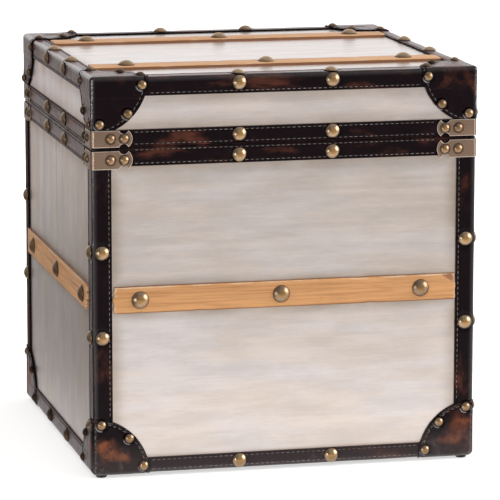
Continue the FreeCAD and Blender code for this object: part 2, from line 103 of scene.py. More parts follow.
class TrunkLeatherSettings(PropertyGroup):
    """Colours and sizes of the leather and its stitching."""
    colour: FloatVectorProperty(
        name="Leather", description="Colour of the dark polished leather", subtype="COLOR",
        size=4, min=0, max=1, default=(0.0060, 0.0017, 0.0031, 1))
    rubbed_colour: FloatVectorProperty(
        name="Rubbed leather", description="Colour where the leather is rubbed through", subtype="COLOR",
        size=4, min=0, max=1, default=(0.150, 0.046, 0.026, 1))
    worn_colour: FloatVectorProperty(
        name="Worn leather", description="Colour in the middle of the rubbed patches", subtype="COLOR",
        size=4, min=0, max=1, default=(0.36, 0.115, 0.045, 1))
    dust_colour: FloatVectorProperty(
        name="Leather dust", description="Colour of the scuffed leather near the floor", subtype="COLOR",
        size=4, min=0, max=1, default=(0.115, 0.090, 0.091, 1))
    thread_colour: FloatVectorProperty(
        name="Thread", description="Colour of the stitching", subtype="COLOR",
        size=4, min=0, max=1, default=(0.50, 0.41, 0.385, 1))
    edge_round: FloatProperty(
        name="Edge round", description="Radius of the bindings round the trunk's edges",
        default=0.0032, min=0.0005, unit="LENGTH")
    cover_round: FloatProperty(
        name="Cover round", description="Radius of the bottom covers over the trunk's edges",
        default=0.0066, min=0.0005, unit="LENGTH")
    rim_round: FloatProperty(
        name="Rim round", description="Radius of the leather where the chest and the lid meet",
        default=0.0015, min=0.0005, unit="LENGTH")
    rim_flange: FloatProperty(
        name="Rim flange", description="Width of leather that lies on the meeting edge",
        default=0.0158, min=0.005, unit="LENGTH")
    cell: FloatProperty(
        name="Cell", description="Spacing of the leather's mesh", default=0.0022, min=0.001, unit="LENGTH")
    seam_inset: FloatProperty(
        name="Seam inset", description="Distance of a seam from the leather's edge",
        default=0.0030, min=0.001, unit="LENGTH")
    seam_depth: FloatProperty(
        name="Seam depth", description="Depth of the groove that a seam pulls",
        default=0.0007, min=0, unit="LENGTH")
    stitch_pitch: FloatProperty(
        name="Stitch pitch", description="Distance from one stitch to the next",
        default=0.0061, min=0.002, unit="LENGTH")
    stitch_length: FloatProperty(
        name="Stitch length", description="Length of thread that shows in one stitch",
        default=0.0050, min=0.001, unit="LENGTH")
    thread_width: FloatProperty(
        name="Thread width", description="Width of the thread", default=0.00070, min=0.0002, unit="LENGTH")
    dimple: FloatProperty(
        name="Nail dimple", description="Depth to which a nail's head presses the leather",
        default=0.0008, min=0, unit="LENGTH")
    # Pale colour painted on the covers' folds and below their nails as a highlight, and on their borders partly as
    # wear and partly as a highlight.
    scuff_and_glint_colour: FloatVectorProperty(
        name="Scuff and glint", description="Colour painted on the covers' folds, borders and nail edges, partly scuffs and partly highlight",
        subtype="COLOR", size=4, min=0, max=1, default=(0.42, 0.39, 0.40, 1))
    cover_cuts: IntProperty(
        name="Cover cuts", description="Cuts across one side of a corner cover", default=50, min=8, max=90)
    softness: FloatProperty(
        name="Softness", description="How far the leather's surface wanders from flat",
        default=0.00022, min=0, unit="LENGTH")


class TrunkMetalSettings(PropertyGroup):
    """Colours of the sheets, the clips, the nails and the hinges."""
    sheet_colour: FloatVectorProperty(
        name="Sheet", description="Colour of the brushed metal sheets", subtype="COLOR",
        size=4, min=0, max=1, default=(0.81, 0.735, 0.71, 1))
    sheet_warm_colour: FloatVectorProperty(
        name="Warm sheet", description="Colour of the sheets where they have yellowed", subtype="COLOR",
        size=4, min=0, max=1, default=(0.80, 0.69, 0.615, 1))
    sheet_border_colour: FloatVectorProperty(
        name="Sheet grime", description="Colour of the sheets beside the leather", subtype="COLOR",
        size=4, min=0, max=1, default=(0.42, 0.32, 0.235, 1))
    clip_colour: FloatVectorProperty(
        name="Clip", description="Colour of the corner clips", subtype="COLOR",
        size=4, min=0, max=1, default=(0.325, 0.215, 0.152, 1))
    # The clips' border is polished and painted lighter as a highlight; their outer bends are painted lighter as a
    # highlight.
    clip_highlight_colour: FloatVectorProperty(
        name="Clip highlight", description="Colour of the clips' polished border and outer bends, painted lighter as a highlight", subtype="COLOR",
        size=4, min=0, max=1, default=(0.66, 0.56, 0.47, 1))
    nail_colour: FloatVectorProperty(
        name="Nail", description="Colour of the brass on the nails' crowns", subtype="COLOR",
        size=4, min=0, max=1, default=(0.50, 0.285, 0.115, 1))
    nail_edge_colour: FloatVectorProperty(
        name="Nail edge", description="Colour of the brass round the nails' edges", subtype="COLOR",
        size=4, min=0, max=1, default=(0.52, 0.37, 0.245, 1))
    tarnish_colour: FloatVectorProperty(
        name="Tarnish", description="Colour of the tarnish on nails and hinges", subtype="COLOR",
        size=4, min=0, max=1, default=(0.165, 0.100, 0.063, 1))
    clip_border: FloatProperty(
        name="Clip border", description="Width of the polished border round the clips, painted lighter as a highlight",
        default=0.0007, min=0.0001, unit="LENGTH")
    brush_spacing: FloatProperty(
        name="Brush spacing", description="Distance between the sheets' brush lines",
        default=0.0011, min=0.0002, unit="LENGTH")


class TrunkWoodSettings(PropertyGroup):
    """Colours and wear of the slats and the boards."""
    slat_colour: FloatVectorProperty(
        name="Slat", description="Colour of the slats", subtype="COLOR",
        size=4, min=0, max=1, default=(0.80, 0.405, 0.165, 1))
    dark_colour: FloatVectorProperty(
        name="Slat grain", description="Colour of the slats' dark grain and stains", subtype="COLOR",
        size=4, min=0, max=1, default=(0.41, 0.17, 0.058, 1))
    # The thin sides are darkened partly as stain and partly as painted shade; the painted shadow lines under the
    # slats take this colour too.
    side_colour: FloatVectorProperty(
        name="Slat side", description="Colour of the slats' thin sides, partly stain and partly painted shade, and of their painted shadow lines", subtype="COLOR",
        size=4, min=0, max=1, default=(0.21, 0.075, 0.032, 1))
    bare_colour: FloatVectorProperty(
        name="Bare wood", description="Colour where the slats are chipped or worn", subtype="COLOR",
        size=4, min=0, max=1, default=(0.80, 0.56, 0.36, 1))
    board_colour: FloatVectorProperty(
        name="Board", description="Colour of the raw boards", subtype="COLOR",
        size=4, min=0, max=1, default=(0.55, 0.38, 0.21, 1))
    wear: FloatProperty(
        name="Wear", description="How far the slats' edges wander from straight",
        default=0.00035, min=0, unit="LENGTH")


class TrunkClothSettings(PropertyGroup):
    """Colour and weave of the lining."""
    colour: FloatVectorProperty(
        name="Lining", description="Colour of the cloth lining", subtype="COLOR",
        size=4, min=0, max=1, default=(0.56, 0.49, 0.38, 1))
    # Darker colour between the threads, painted as shade, and of the slubs and clouds.
    shade_and_slub_colour: FloatVectorProperty(
        name="Lining shade", description="Colour between the lining's threads", subtype="COLOR",
        size=4, min=0, max=1, default=(0.36, 0.30, 0.22, 1))
    thread_spacing: FloatProperty(
        name="Thread spacing", description="Distance between the lining's threads",
        default=0.0012, min=0.0002, unit="LENGTH")


class TrunkStageSettings(PropertyGroup):
    """Camera, lamps and floor."""
    camera_place: FloatVectorProperty(
        name="Camera", description="Place of the camera", subtype="TRANSLATION", unit="LENGTH",
        size=3, default=(-0.96656, -4.06913, 0.97045))
    camera_yaw: FloatProperty(
        name="Yaw", description="Turn of the camera to the right of +Y", unit="ROTATION", default=0.23563)
    camera_pitch: FloatProperty(
        name="Pitch", description="Tilt of the camera above the horizon", unit="ROTATION", default=-0.1775)
    camera_roll: FloatProperty(
        name="Roll", description="Roll of the camera", unit="ROTATION", default=0.00077)
    lens: FloatProperty(
        name="Lens", description="Focal length in millimetres on a sensor 36 wide", default=252.11, min=1)
    floor_colour: FloatVectorProperty(
        name="Floor", description="Colour of the pale floor", subtype="COLOR",
        size=4, min=0, max=1, default=(0.86, 0.85, 0.83, 1))
    key_power: FloatProperty(
        name="Key lamp", description="Power of the large lamp at the right", unit="POWER", default=32, min=0)
    fill_power: FloatProperty(
        name="Fill lamp", description="Power of the lamp at the left", unit="POWER", default=5.2, min=0)
    top_power: FloatProperty(
        name="Top lamp", description="Power of the lamp above", unit="POWER", default=13, min=0)
    floor_glow: FloatProperty(
        name="Floor glow", description="Light that the floor beside the trunk adds for the camera",
        default=0.6, min=0)
    front_gloom: FloatProperty(
        name="Front gloom", description="Brightness that gloss sees behind the camera", default=0.55, min=0)
    sky_strength: FloatProperty(
        name="Sky", description="Strength of the even light from all round", default=0.6, min=0)


# Bench: small steps that every piece shares

def put_down():
    """Leave edit mode with nothing selected."""
    if bpy.context.mode != "OBJECT":
        bpy.ops.object.mode_set(mode="OBJECT")
    bpy.ops.object.select_all(action="DESELECT")


def take(obj):
    """Select one object alone and make it active."""
    put_down()
    obj.select_set(True)
    bpy.context.view_layer.objects.active = obj


def open_mesh(obj):
    """Go into edit mode on one object with nothing in it selected."""
    take(obj)
    bpy.ops.object.mode_set(mode="EDIT")
    bpy.ops.mesh.select_all(action="DESELECT")


def block(name, low, high):
    """A box between two corners, with its place in its mesh."""
    put_down()
    low, high = Vector(low), Vector(high)
    bpy.ops.mesh.primitive_cube_add(size=1, location=(low + high) / 2, scale=high - low)
    obj = bpy.context.object
    obj.name = obj.data.name = name
    bpy.ops.object.transform_apply(location=True, rotation=True, scale=True)
    return obj


def choose_faces(obj, test):
    """In edit mode, select the faces whose middle and normal pass a test."""
    bpy.ops.mesh.select_mode(type="FACE")
    bpy.ops.mesh.select_all(action="DESELECT")
    mesh = bmesh.from_edit_mesh(obj.data)
    mesh.normal_update()
    for face in mesh.faces:
        face.select_set(bool(test(face.calc_center_median(), face.normal)))
    bmesh.update_edit_mesh(obj.data)


def choose_edges(obj, test):
    """In edit mode, select the edges whose two ends pass a test."""
    bpy.ops.mesh.select_mode(type="EDGE")
    bpy.ops.mesh.select_all(action="DESELECT")
    mesh = bmesh.from_edit_mesh(obj.data)
    for edge in mesh.edges:
        edge.select_set(bool(test(edge.verts[0].co, edge.verts[1].co)))
    bmesh.update_edit_mesh(obj.data)


def runs_along(axis):
    """A test for edges that run along an axis."""
    axis = Vector(axis)
    return lambda a, b: abs((b - a).normalized().dot(axis)) > 0.999


def slice_at(point, normal, drop=False):
    """In edit mode, cut the mesh along a plane, and drop what lies beyond it if asked."""
    bpy.ops.mesh.select_mode(type="VERT")
    bpy.ops.mesh.select_all(action="SELECT")
    bpy.ops.mesh.bisect(plane_co=point, plane_no=normal, clear_outer=drop, threshold=merge_distance)


def finish_with(obj, kind, **settings):
    """Add a modifier and apply it."""
    take(obj)
    modifier = obj.modifiers.new(kind.title(), kind)
    for key, value in settings.items():
        setattr(modifier, key, value)
    bpy.ops.object.modifier_apply(modifier=modifier.name)


def smooth(obj, degrees):
    """Shade smooth, but keep the edges that are sharper than an angle."""
    take(obj)
    bpy.ops.object.shade_smooth_by_angle(angle=math.radians(degrees))


def read_points(obj):
    """A mesh's points as an array."""
    flat = np.zeros(len(obj.data.vertices) * 3, np.float32)
    obj.data.vertices.foreach_get("co", flat)
    return flat.reshape(-1, 3).astype(float)


def read_normals(obj):
    """A mesh's normals at its points as an array."""
    flat = np.zeros(len(obj.data.vertices) * 3, np.float32)
    obj.data.vertex_normals.foreach_get("vector", flat)
    return flat.reshape(-1, 3).astype(float)


def write_points(obj, points):
    """Move a mesh's points."""
    obj.data.vertices.foreach_set("co", points.astype(np.float32).ravel())
    obj.data.update()


def write_mask(obj, name, values):
    """Store one number for each point of a mesh."""
    mask = obj.data.attributes.get(name) or obj.data.attributes.new(name, "FLOAT", "POINT")
    mask.data.foreach_set("value", values.astype(np.float32))


def write_offsets(obj, name, values):
    """Store a vector on every point of a mesh."""
    layer = obj.data.attributes.get(name) or obj.data.attributes.new(name, "FLOAT_VECTOR", "POINT")
    layer.data.foreach_set("vector", np.asarray(values, np.float32).ravel())


def blotches(points, size, seed):
    """Smooth noise, mostly from -1 to 1, at each point, made of a few crossed waves."""
    dice = np.random.default_rng(seed)
    total = np.zeros(len(points))
    waves = 7
    for _ in range(waves):
        direction = dice.normal(size=3)
        direction /= np.linalg.norm(direction)
        wave = dice.uniform(0.6, 1.6) * 2 * math.pi / size
        total += np.sin(points @ direction * wave + dice.uniform(0, 2 * math.pi))
    return total / waves * 1.6


def step(values, low, high):
    """Smooth step from 0 at low to 1 at high."""
    t = np.clip((values - low) / (high - low), 0, 1)
    return t * t * (3 - 2 * t)


def settle(obj, body, slot, *nodes):
    """Ride on a body and stand for CAD nodes. The finish slot is not used."""
    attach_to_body(obj, body)
    if nodes:
        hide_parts(*nodes)


def wear_material(obj, *materials):
    """Give an object its materials in place of any it has."""
    obj.data.materials.clear()
    for material in materials:
        obj.data.materials.append(material)


# Shader building

def add(tree, kind, inputs=None, **settings):
    """A node with its settings, whose inputs are links or values."""
    made = tree.nodes.new(kind)
    for key, value in settings.items():
        setattr(made, key, value)
    for socket, value in (inputs or {}).items():
        if isinstance(value, bpy.types.NodeSocket):
            tree.links.new(value, made.inputs[socket])
        else:
            made.inputs[socket].default_value = value
    return made


def calc(tree, operation, a, b=0.0, clamp=False):
    """The result of a sum on numbers."""
    return add(tree, "ShaderNodeMath", {0: a, 1: b}, operation=operation, use_clamp=clamp).outputs[0]


def plus(tree, a, b, clamp=False):
    """Two numbers added."""
    return calc(tree, "ADD", a, b, clamp)


def minus(tree, a, b):
    """One number less another."""
    return calc(tree, "SUBTRACT", a, b)


def product(tree, a, b):
    """Two numbers multiplied."""
    return calc(tree, "MULTIPLY", a, b)


def rest(tree, share):
    """What a share leaves of one."""
    return calc(tree, "SUBTRACT", 1.0, share)


def vector_calc(tree, operation, a, b=(0, 0, 0)):
    """The result of a sum on vectors."""
    return add(tree, "ShaderNodeVectorMath", {0: a, 1: b}, operation=operation).outputs[0]


def times(tree, vector, scale):
    """A vector scaled by a number."""
    return add(tree, "ShaderNodeVectorMath", {0: vector, "Scale": scale}, operation="SCALE").outputs[0]


def noise(tree, vector, scale, detail, roughness=0.55, distortion=0.0):
    """Noise from 0 to 1."""
    return add(tree, "ShaderNodeTexNoise", {"Vector": vector, "Scale": scale, "Detail": detail,
                                            "Roughness": roughness, "Distortion": distortion}).outputs[0]


def ease(tree, value, low, high, out_low=0.0, out_high=1.0):
    """A number eased from one range to another."""
    return add(tree, "ShaderNodeMapRange", {"Value": value, "From Min": low, "From Max": high,
                                            "To Min": out_low, "To Max": out_high},
               interpolation_type="SMOOTHSTEP").outputs[0]


def blend(tree, share, a, b):
    """Two colours mixed by a share."""
    return add(tree, "ShaderNodeMix", {0: share, 6: a, 7: b}, data_type="RGBA").outputs[2]


def layers(tree, colour, over):
    """A colour under a row of others, each with the share that it covers."""
    for share, other in over:
        colour = blend(tree, share, colour, other)
    return colour


def shade(colour, share):
    """A colour made darker or lighter."""
    return [min(1.0, c * share) for c in colour[:3]] + [1]


def parts(tree, vector):
    """The three numbers of a vector."""
    return add(tree, "ShaderNodeSeparateXYZ", {0: vector}).outputs


def sizes(tree, vector):
    """The three numbers of a vector without their signs."""
    return parts(tree, vector_calc(tree, "ABSOLUTE", vector))


def length_of(tree, vector):
    """The length of a vector."""
    return add(tree, "ShaderNodeVectorMath", {0: vector}, operation="LENGTH").outputs["Value"]


def bump(tree, height, distance, strength, under=None):
    """A normal bent by a height in metres."""
    inputs = {"Height": height, "Distance": distance, "Strength": strength}
    if under is not None:
        inputs["Normal"] = under
    return add(tree, "ShaderNodeBump", inputs).outputs[0]


def effect(name, inputs, outputs, build):
    """A shared node group, built the first time that it is asked for."""
    tree = bpy.data.node_groups.get(name)
    if tree:
        return tree
    tree = bpy.data.node_groups.new(name, "ShaderNodeTree")
    for label, kind, value in inputs:
        socket = tree.interface.new_socket(name=label, in_out="INPUT", socket_type=kind)
        if value is not None:
            socket.default_value = value
    for label, kind in outputs:
        tree.interface.new_socket(name=label, in_out="OUTPUT", socket_type=kind)
    given = add(tree, "NodeGroupInput").outputs
    results = build(tree, given)
    leaving = add(tree, "NodeGroupOutput")
    for label, socket in results.items():
        tree.links.new(socket, leaving.inputs[label])
    return tree


def use(tree, group, inputs):
    """A shared effect placed in a material."""
    return add(tree, "ShaderNodeGroup", inputs, node_tree=group).outputs


NUMBER, VECTOR, COLOUR = "NodeSocketFloat", "NodeSocketVector", "NodeSocketColor"


def patches():
    """Blotches: Cover is the share of the surface that they take."""
    def build(tree, given):
        broad = noise(tree, given["Vector"], given["Scale"], 2.0, 0.5, 0.6)
        fine = noise(tree, given["Vector"], product(tree, given["Scale"], 7.0), 3.0, 0.6)
        mixed = plus(tree, product(tree, broad, 0.8), product(tree, fine, 0.2))
        start = minus(tree, 0.72, product(tree, given["Cover"], 0.44))
        return {"Mask": ease(tree, mixed, start, plus(tree, start, given["Softness"]))}
    return effect("patches", [("Vector", VECTOR, None), ("Scale", NUMBER, 10.0), ("Cover", NUMBER, 0.3),
                              ("Softness", NUMBER, 0.1)], [("Mask", NUMBER)], build)


def drawn_grain():
    """Long lines from a vector that is already stretched: a fine set and a broad set."""
    def build(tree, given):
        fine = noise(tree, given["Vector"], 1.0, 2.0, 0.6)
        broad = noise(tree, given["Vector"], 0.13, 3.0, 0.6)
        lines = plus(tree, product(tree, fine, 0.6), product(tree, broad, 0.4))
        return {"Lines": lines, "Broad": broad}
    return effect("drawn_grain", [("Vector", VECTOR, None)], [("Lines", NUMBER), ("Broad", NUMBER)], build)


def rubbed_edge():
    """An edge mask broken up by noise, as wear is."""
    def build(tree, given):
        broken = noise(tree, given["Vector"], given["Scale"], 4.0, 0.65)
        raised = product(tree, given["Edge"], given["Amount"])
        total = plus(tree, raised, minus(tree, broken, 0.5))
        return {"Mask": product(tree, ease(tree, total, 0.25, 0.75), ease(tree, given["Edge"], 0.0, 0.25))}
    return effect("rubbed_edge", [("Edge", NUMBER, 0.0), ("Vector", VECTOR, None), ("Scale", NUMBER, 150.0),
                                  ("Amount", NUMBER, 1.0)], [("Mask", NUMBER)], build)


def pebbles():
    """A fine pebbled height, for leather and cast surfaces."""
    def build(tree, given):
        cells = add(tree, "ShaderNodeTexVoronoi", {"Vector": given["Vector"], "Scale": given["Scale"]},
                    feature="SMOOTH_F1").outputs[0]
        creases = noise(tree, given["Vector"], product(tree, given["Scale"], 0.11), 4.0, 0.6, 0.8)
        return {"Height": minus(tree, creases, product(tree, cells, 0.45))}
    return effect("pebbles", [("Vector", VECTOR, None), ("Scale", NUMBER, 900.0)], [("Height", NUMBER)], build)


def panel_border():
    """How near a point of a metal sheet is to the leather round it: 1 beside it, 0 past Reach."""
    def build(tree, given):
        place, face = sizes(tree, given["Vector"]), sizes(tree, given["Face"])
        z = place[2]
        low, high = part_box("slat_front")[0].z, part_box("slat_front")[1].z
        from_slat = minus(tree, calc(tree, "ABSOLUTE", minus(tree, z, (low + high) / 2)), (high - low) / 2)
        slat = product(tree, from_slat, 1.3)
        foot = product(tree, minus(tree, z, base_z + bottom_leg_front), 4.0)
        chest = calc(tree, "MINIMUM", calc(tree, "MINIMUM", slat, foot), minus(tree, chest_rim_low, z))
        lid = calc(tree, "MINIMUM", minus(tree, z, lid_rim_high), minus(tree, top_z - lid_leg_face, z))
        upright = calc(tree, "MAXIMUM", chest, lid)
        front = calc(tree, "MINIMUM", upright, minus(tree, half_width - edge_leg, place[0]))
        side = calc(tree, "MINIMUM", upright, minus(tree, half_depth - edge_leg, place[1]))
        above = calc(tree, "MINIMUM", minus(tree, half_width - lid_leg_top_side, place[0]),
                     minus(tree, half_depth - lid_leg_top_front, place[1]))
        total = plus(tree, product(tree, front, face[1]), product(tree, side, face[0]))
        total = plus(tree, total, product(tree, above, face[2]))
        return {"Mask": ease(tree, total, 0.0, given["Reach"], 1.0, 0.0)}
    return effect("panel_border", [("Vector", VECTOR, None), ("Face", VECTOR, None), ("Reach", NUMBER, 0.04)],
                  [("Mask", NUMBER)], build)


def nail_rings():
    """Painted shadow round the nails of the clips, from how far a point lies from the nearest one."""
    def build(tree, given):
        place, face = sizes(tree, given["Vector"]), sizes(tree, given["Face"])
        along = plus(tree, product(tree, face[1], minus(tree, half_width, place[0])),
                     product(tree, face[0], minus(tree, half_depth, place[1])))
        nearest = None
        for reach, height in clip_nail_places:
            across = minus(tree, along, reach)
            rise = minus(tree, place[2], height)
            away = calc(tree, "SQRT", plus(tree, product(tree, across, across), product(tree, rise, rise)))
            nearest = away if nearest is None else calc(tree, "MINIMUM", nearest, away)
        return {"Mask": ease(tree, nearest, clip_nail_head - 0.0003, clip_nail_head + 0.0019, 1.0, 0.0)}
    return effect("nail_rings", [("Vector", VECTOR, None), ("Face", VECTOR, None)], [("Mask", NUMBER)], build)


def patched(tree, vector, scale, cover, softness):
    """The mask of the shared blotches."""
    return use(tree, patches(), {"Vector": vector, "Scale": scale, "Cover": cover, "Softness": softness})["Mask"]


def grained(tree, vector, stretch):
    """The shared long lines, on a place stretched by a vector."""
    return use(tree, drawn_grain(), {"Vector": vector_calc(tree, "MULTIPLY", vector, stretch)})


def new_material(name):
    """A material with its Principled node, and the tree to build on."""
    material = bpy.data.materials.new(name)
    material.use_nodes = True
    tree = material.node_tree
    shader = tree.nodes["Principled BSDF"]
    where = add(tree, "ShaderNodeTexCoord").outputs["Object"]
    return material, tree, shader, where


def attach(tree, shader, **sockets):
    """Link results to the shader, or set plain values on it."""
    for key, value in sockets.items():
        name = key.replace("_", " ")
        if isinstance(value, bpy.types.NodeSocket):
            tree.links.new(value, shader.inputs[name])
        else:
            shader.inputs[name].default_value = value


def mask_of(tree, name):
    """A mask that is stored on the mesh."""
    return add(tree, "ShaderNodeAttribute", attribute_name=name).outputs["Fac"]


def sheet_metal():
    """Brushed metal: lines run across the front, back and top and up the sides, darker and browner beside the
    leather, with the top painted darker and the lid's sides painted lighter as light falls.
    """
    settings = bpy.context.scene.trunk_metal
    material, tree, shader, where = new_material("brushed sheet metal")
    face = add(tree, "ShaderNodeNewGeometry").outputs["True Normal"]
    side = sizes(tree, face)
    close, long = 1 / settings.brush_spacing, 1 / settings.brush_spacing / 60

    def stretched(front, flank, above):
        """The place stretched in one way on the front and back, and in others on the sides and on top."""
        stretch = vector_calc(tree, "ADD", times(tree, front, side[1]), times(tree, flank, side[0]))
        stretch = vector_calc(tree, "ADD", stretch, times(tree, above, side[2]))
        return vector_calc(tree, "MULTIPLY", where, stretch)
    brushed = stretched((long, 1.0, close), (1.0, close, long), (long, close, 1.0))
    grain = use(tree, drawn_grain(), {"Vector": brushed})
    slow = stretched((0.8, 1.0, 3.6), (1.0, 1.9, 1.1), (0.8, 3.6, 1.0))
    clouds = noise(tree, slow, 17.0, 5.0, 0.68)
    warmth = noise(tree, slow, 6.5, 4.0, 0.6)
    # The sheets turn darker and browner beside the leather and the slats.
    border = use(tree, panel_border(), {"Vector": where, "Face": face, "Reach": 0.024})["Mask"]
    smear = noise(tree, where, 14.0, 4.0, 0.6)
    grime = product(tree, calc(tree, "POWER", border, 1.8), ease(tree, smear, 0.2, 0.8, 0.45, 1.0))
    faded = rest(tree, product(tree, side[0], 0.85))
    lines = product(tree, ease(tree, grain["Lines"], 0.3, 0.7, -0.036, 0.034), faded)
    tone = product(tree, plus(tree, 1.0, lines), ease(tree, clouds, 0.3, 0.7, 0.92, 1.07))
    lid = ease(tree, parts(tree, where)[2], chest_rim_z, chest_rim_z + 0.001)
    beside = product(tree, lid, side[0])
    # Painted light: the top sheet is made darker, and the lid's side sheets lighter and bluer, for how light falls
    # on them. All the lid's sheets are also made a little lighter and bluer.
    for place, share in ((side[2], -0.19), (lid, 0.16), (beside, 0.13)):
        tone = product(tree, tone, plus(tree, 1.0, product(tree, place, share)))
    colour = blend(tree, ease(tree, warmth, 0.34, 0.66), settings.sheet_colour[:], settings.sheet_warm_colour[:])
    colour = blend(tree, product(tree, grime, 0.75), colour, settings.sheet_border_colour[:])
    green = plus(tree, 1.0, product(tree, lid, 0.015))
    blue = plus(tree, plus(tree, 1.0, product(tree, lid, 0.05)), product(tree, beside, 0.04))
    toned = add(tree, "ShaderNodeCombineXYZ",
                {0: tone, 1: product(tree, tone, green), 2: product(tree, tone, blue)}).outputs[0]
    colour = vector_calc(tree, "MULTIPLY", colour, toned)
    rough = ease(tree, grain["Broad"], 0.3, 0.7, 0.28, 0.38)
    rough = minus(tree, rough, product(tree, side[2], 0.10))
    height = plus(tree, product(tree, grain["Lines"], faded), product(tree, smear, 0.6))
    attach(tree, shader, Base_Color=colour, Metallic=1.0, Roughness=rough,
           Normal=bump(tree, height, 0.00006, 0.42))
    return material


def leather():
    """Dark polished leather, rubbed red-brown in patches and along its folds."""
    settings = bpy.context.scene.trunk_leather
    material, tree, shader, where = new_material("dark polished leather")
    rub, seam, mottle, upright = [mask_of(tree, name) for name in ("rub", "seam", "mottle", "upright")]
    level = times(tree, (0.42, 0.42, 1.3), rest(tree, upright))
    stretched = vector_calc(tree, "ADD", level, times(tree, (1.0, 1.0, 0.5), upright))
    stretched = vector_calc(tree, "MULTIPLY", where, stretched)
    spots = patched(tree, stretched, 26.0, mottle, 0.18)
    faint = patched(tree, where, 43.0, 0.5, 0.3)
    edge = use(tree, rubbed_edge(), {"Edge": rub, "Vector": where, "Scale": 130.0, "Amount": 0.42})["Mask"]
    dark = blend(tree, faint, settings.colour[:], shade(settings.colour, 2.1))
    half = shade(settings.rubbed_colour, 0.35)
    across = vector_calc(tree, "ADD", times(tree, (60.0, 60.0, 900.0), rest(tree, upright)),
                         times(tree, (900.0, 900.0, 60.0), upright))
    scratches = grained(tree, where, across)["Lines"]
    scratched = product(tree, ease(tree, scratches, 0.5, 0.72), ease(tree, faint, 0.2, 0.9, 0.1, 0.6))
    brown = product(tree, spots, ease(tree, scratches, 0.3, 0.65, 0.5, 0.95))
    brown = product(tree, brown, ease(tree, mottle, 0.38, 0.6, 0.72, 1.0))
    middle = patched(tree, where, 37.0, product(tree, mottle, 0.78), 0.17)
    middle = product(tree, middle, product(tree, brown, ease(tree, mottle, 0.35, 0.75, 0.15, 0.9)))
    scuff = product(tree, mask_of(tree, "scuff"), ease(tree, noise(tree, where, 330.0, 3.0, 0.6), 0.46, 0.60))
    offset = add(tree, "ShaderNodeAttribute", attribute_name="nail").outputs["Vector"]
    away = length_of(tree, offset)
    cover = product(tree, ease(tree, upright, 0.5, 0.65), ease(tree, upright, 0.75, 0.9, 1.0, 0.0))
    hollow = ease(tree, away, 1.02, 1.62)
    # The lip is a crescent of leather below each cover nail, and to its left on the front. It is painted pale as a
    # highlight, under a glossy coat.
    lip = product(tree, ease(tree, away, 1.07, 1.16), ease(tree, away, 1.27, 1.42, 1.0, 0.0))
    below = add(tree, "ShaderNodeVectorMath", {0: vector_calc(tree, "NORMALIZE", offset), 1: (-0.58, 0.0, -0.81)},
                operation="DOT_PRODUCT").outputs["Value"]
    lip = product(tree, lip, product(tree, ease(tree, below, 0.6, 0.97), cover))
    grain = use(tree, pebbles(), {"Vector": where, "Scale": 850.0})["Height"]
    rough = plus(tree, ease(tree, faint, 0.0, 1.0, 0.20, 0.30), product(tree, spots, 0.12))
    rough = plus(tree, rough, product(tree, seam, 0.5), clamp=True)
    creases = noise(tree, where, 70.0, 5.0, 0.6, 1.2)
    bent = bump(tree, hollow, settings.dimple, 1.0, bump(tree, creases, 0.0005, 0.5))
    low_down = ease(tree, parts(tree, where)[2], base_z, base_z + 0.05, 0.95, 0.0)
    colour = layers(tree, dark, (
        (product(tree, scratched, 0.5), half),
        (brown, settings.rubbed_colour[:]),
        (middle, settings.worn_colour[:]),
        (product(tree, edge, 0.8), half),
        # A painted highlight on the covers' folds; along the bottom covers' borders it is partly wear and partly
        # painted highlight.
        (scuff, settings.scuff_and_glint_colour[:]),
        # Painted shade: the leather is painted near black in its seams, along its open borders, where its polish
        # has gone and round the foot of each nail.
        (product(tree, seam, 0.68), shade_black),
        (ease(tree, away, 1.0, 1.2, 0.8, 0.0), shade_black),
        # Painted highlight: the pale crescent below each cover nail.
        (product(tree, lip, 0.8), settings.scuff_and_glint_colour[:]),
        (product(tree, low_down, ease(tree, faint, 0.0, 1.0, 0.45, 1.0)), settings.dust_colour[:])))
    polish = product(tree, calc(tree, "MAXIMUM", rub, lip), ease(tree, seam, 0.0, 0.5, 0.8, 0.0))
    attach(tree, shader, Base_Color=colour, Roughness=rough, IOR=1.5, Specular_IOR_Level=0.11,
           Coat_Weight=polish, Coat_Roughness=0.14, Coat_IOR=1.75, Sheen_Weight=0.3, Sheen_Roughness=0.3,
           Sheen_Tint=(0.62, 0.30, 0.29, 1), Normal=bump(tree, grain, 0.00007, 0.4, bent))
    return material


def thread():
    """Waxed thread with a twist."""
    settings = bpy.context.scene.trunk_leather
    material, tree, shader, where = new_material("waxed thread")
    twist = add(tree, "ShaderNodeTexWave", {"Vector": where, "Scale": 420.0, "Distortion": 1.5},
                bands_direction="DIAGONAL").outputs[1]
    soiled = noise(tree, where, 25.0, 3.0)
    colour = layers(tree, settings.thread_colour[:], (
        (product(tree, ease(tree, soiled, 0.35, 0.7), 0.6), shade(settings.thread_colour, 0.28)),
        (product(tree, mask_of(tree, "tone"), 0.6), shade(settings.thread_colour, 0.2))))
    attach(tree, shader, Base_Color=colour, Roughness=0.55, Normal=bump(tree, twist, 0.0001, 0.5))
    return material


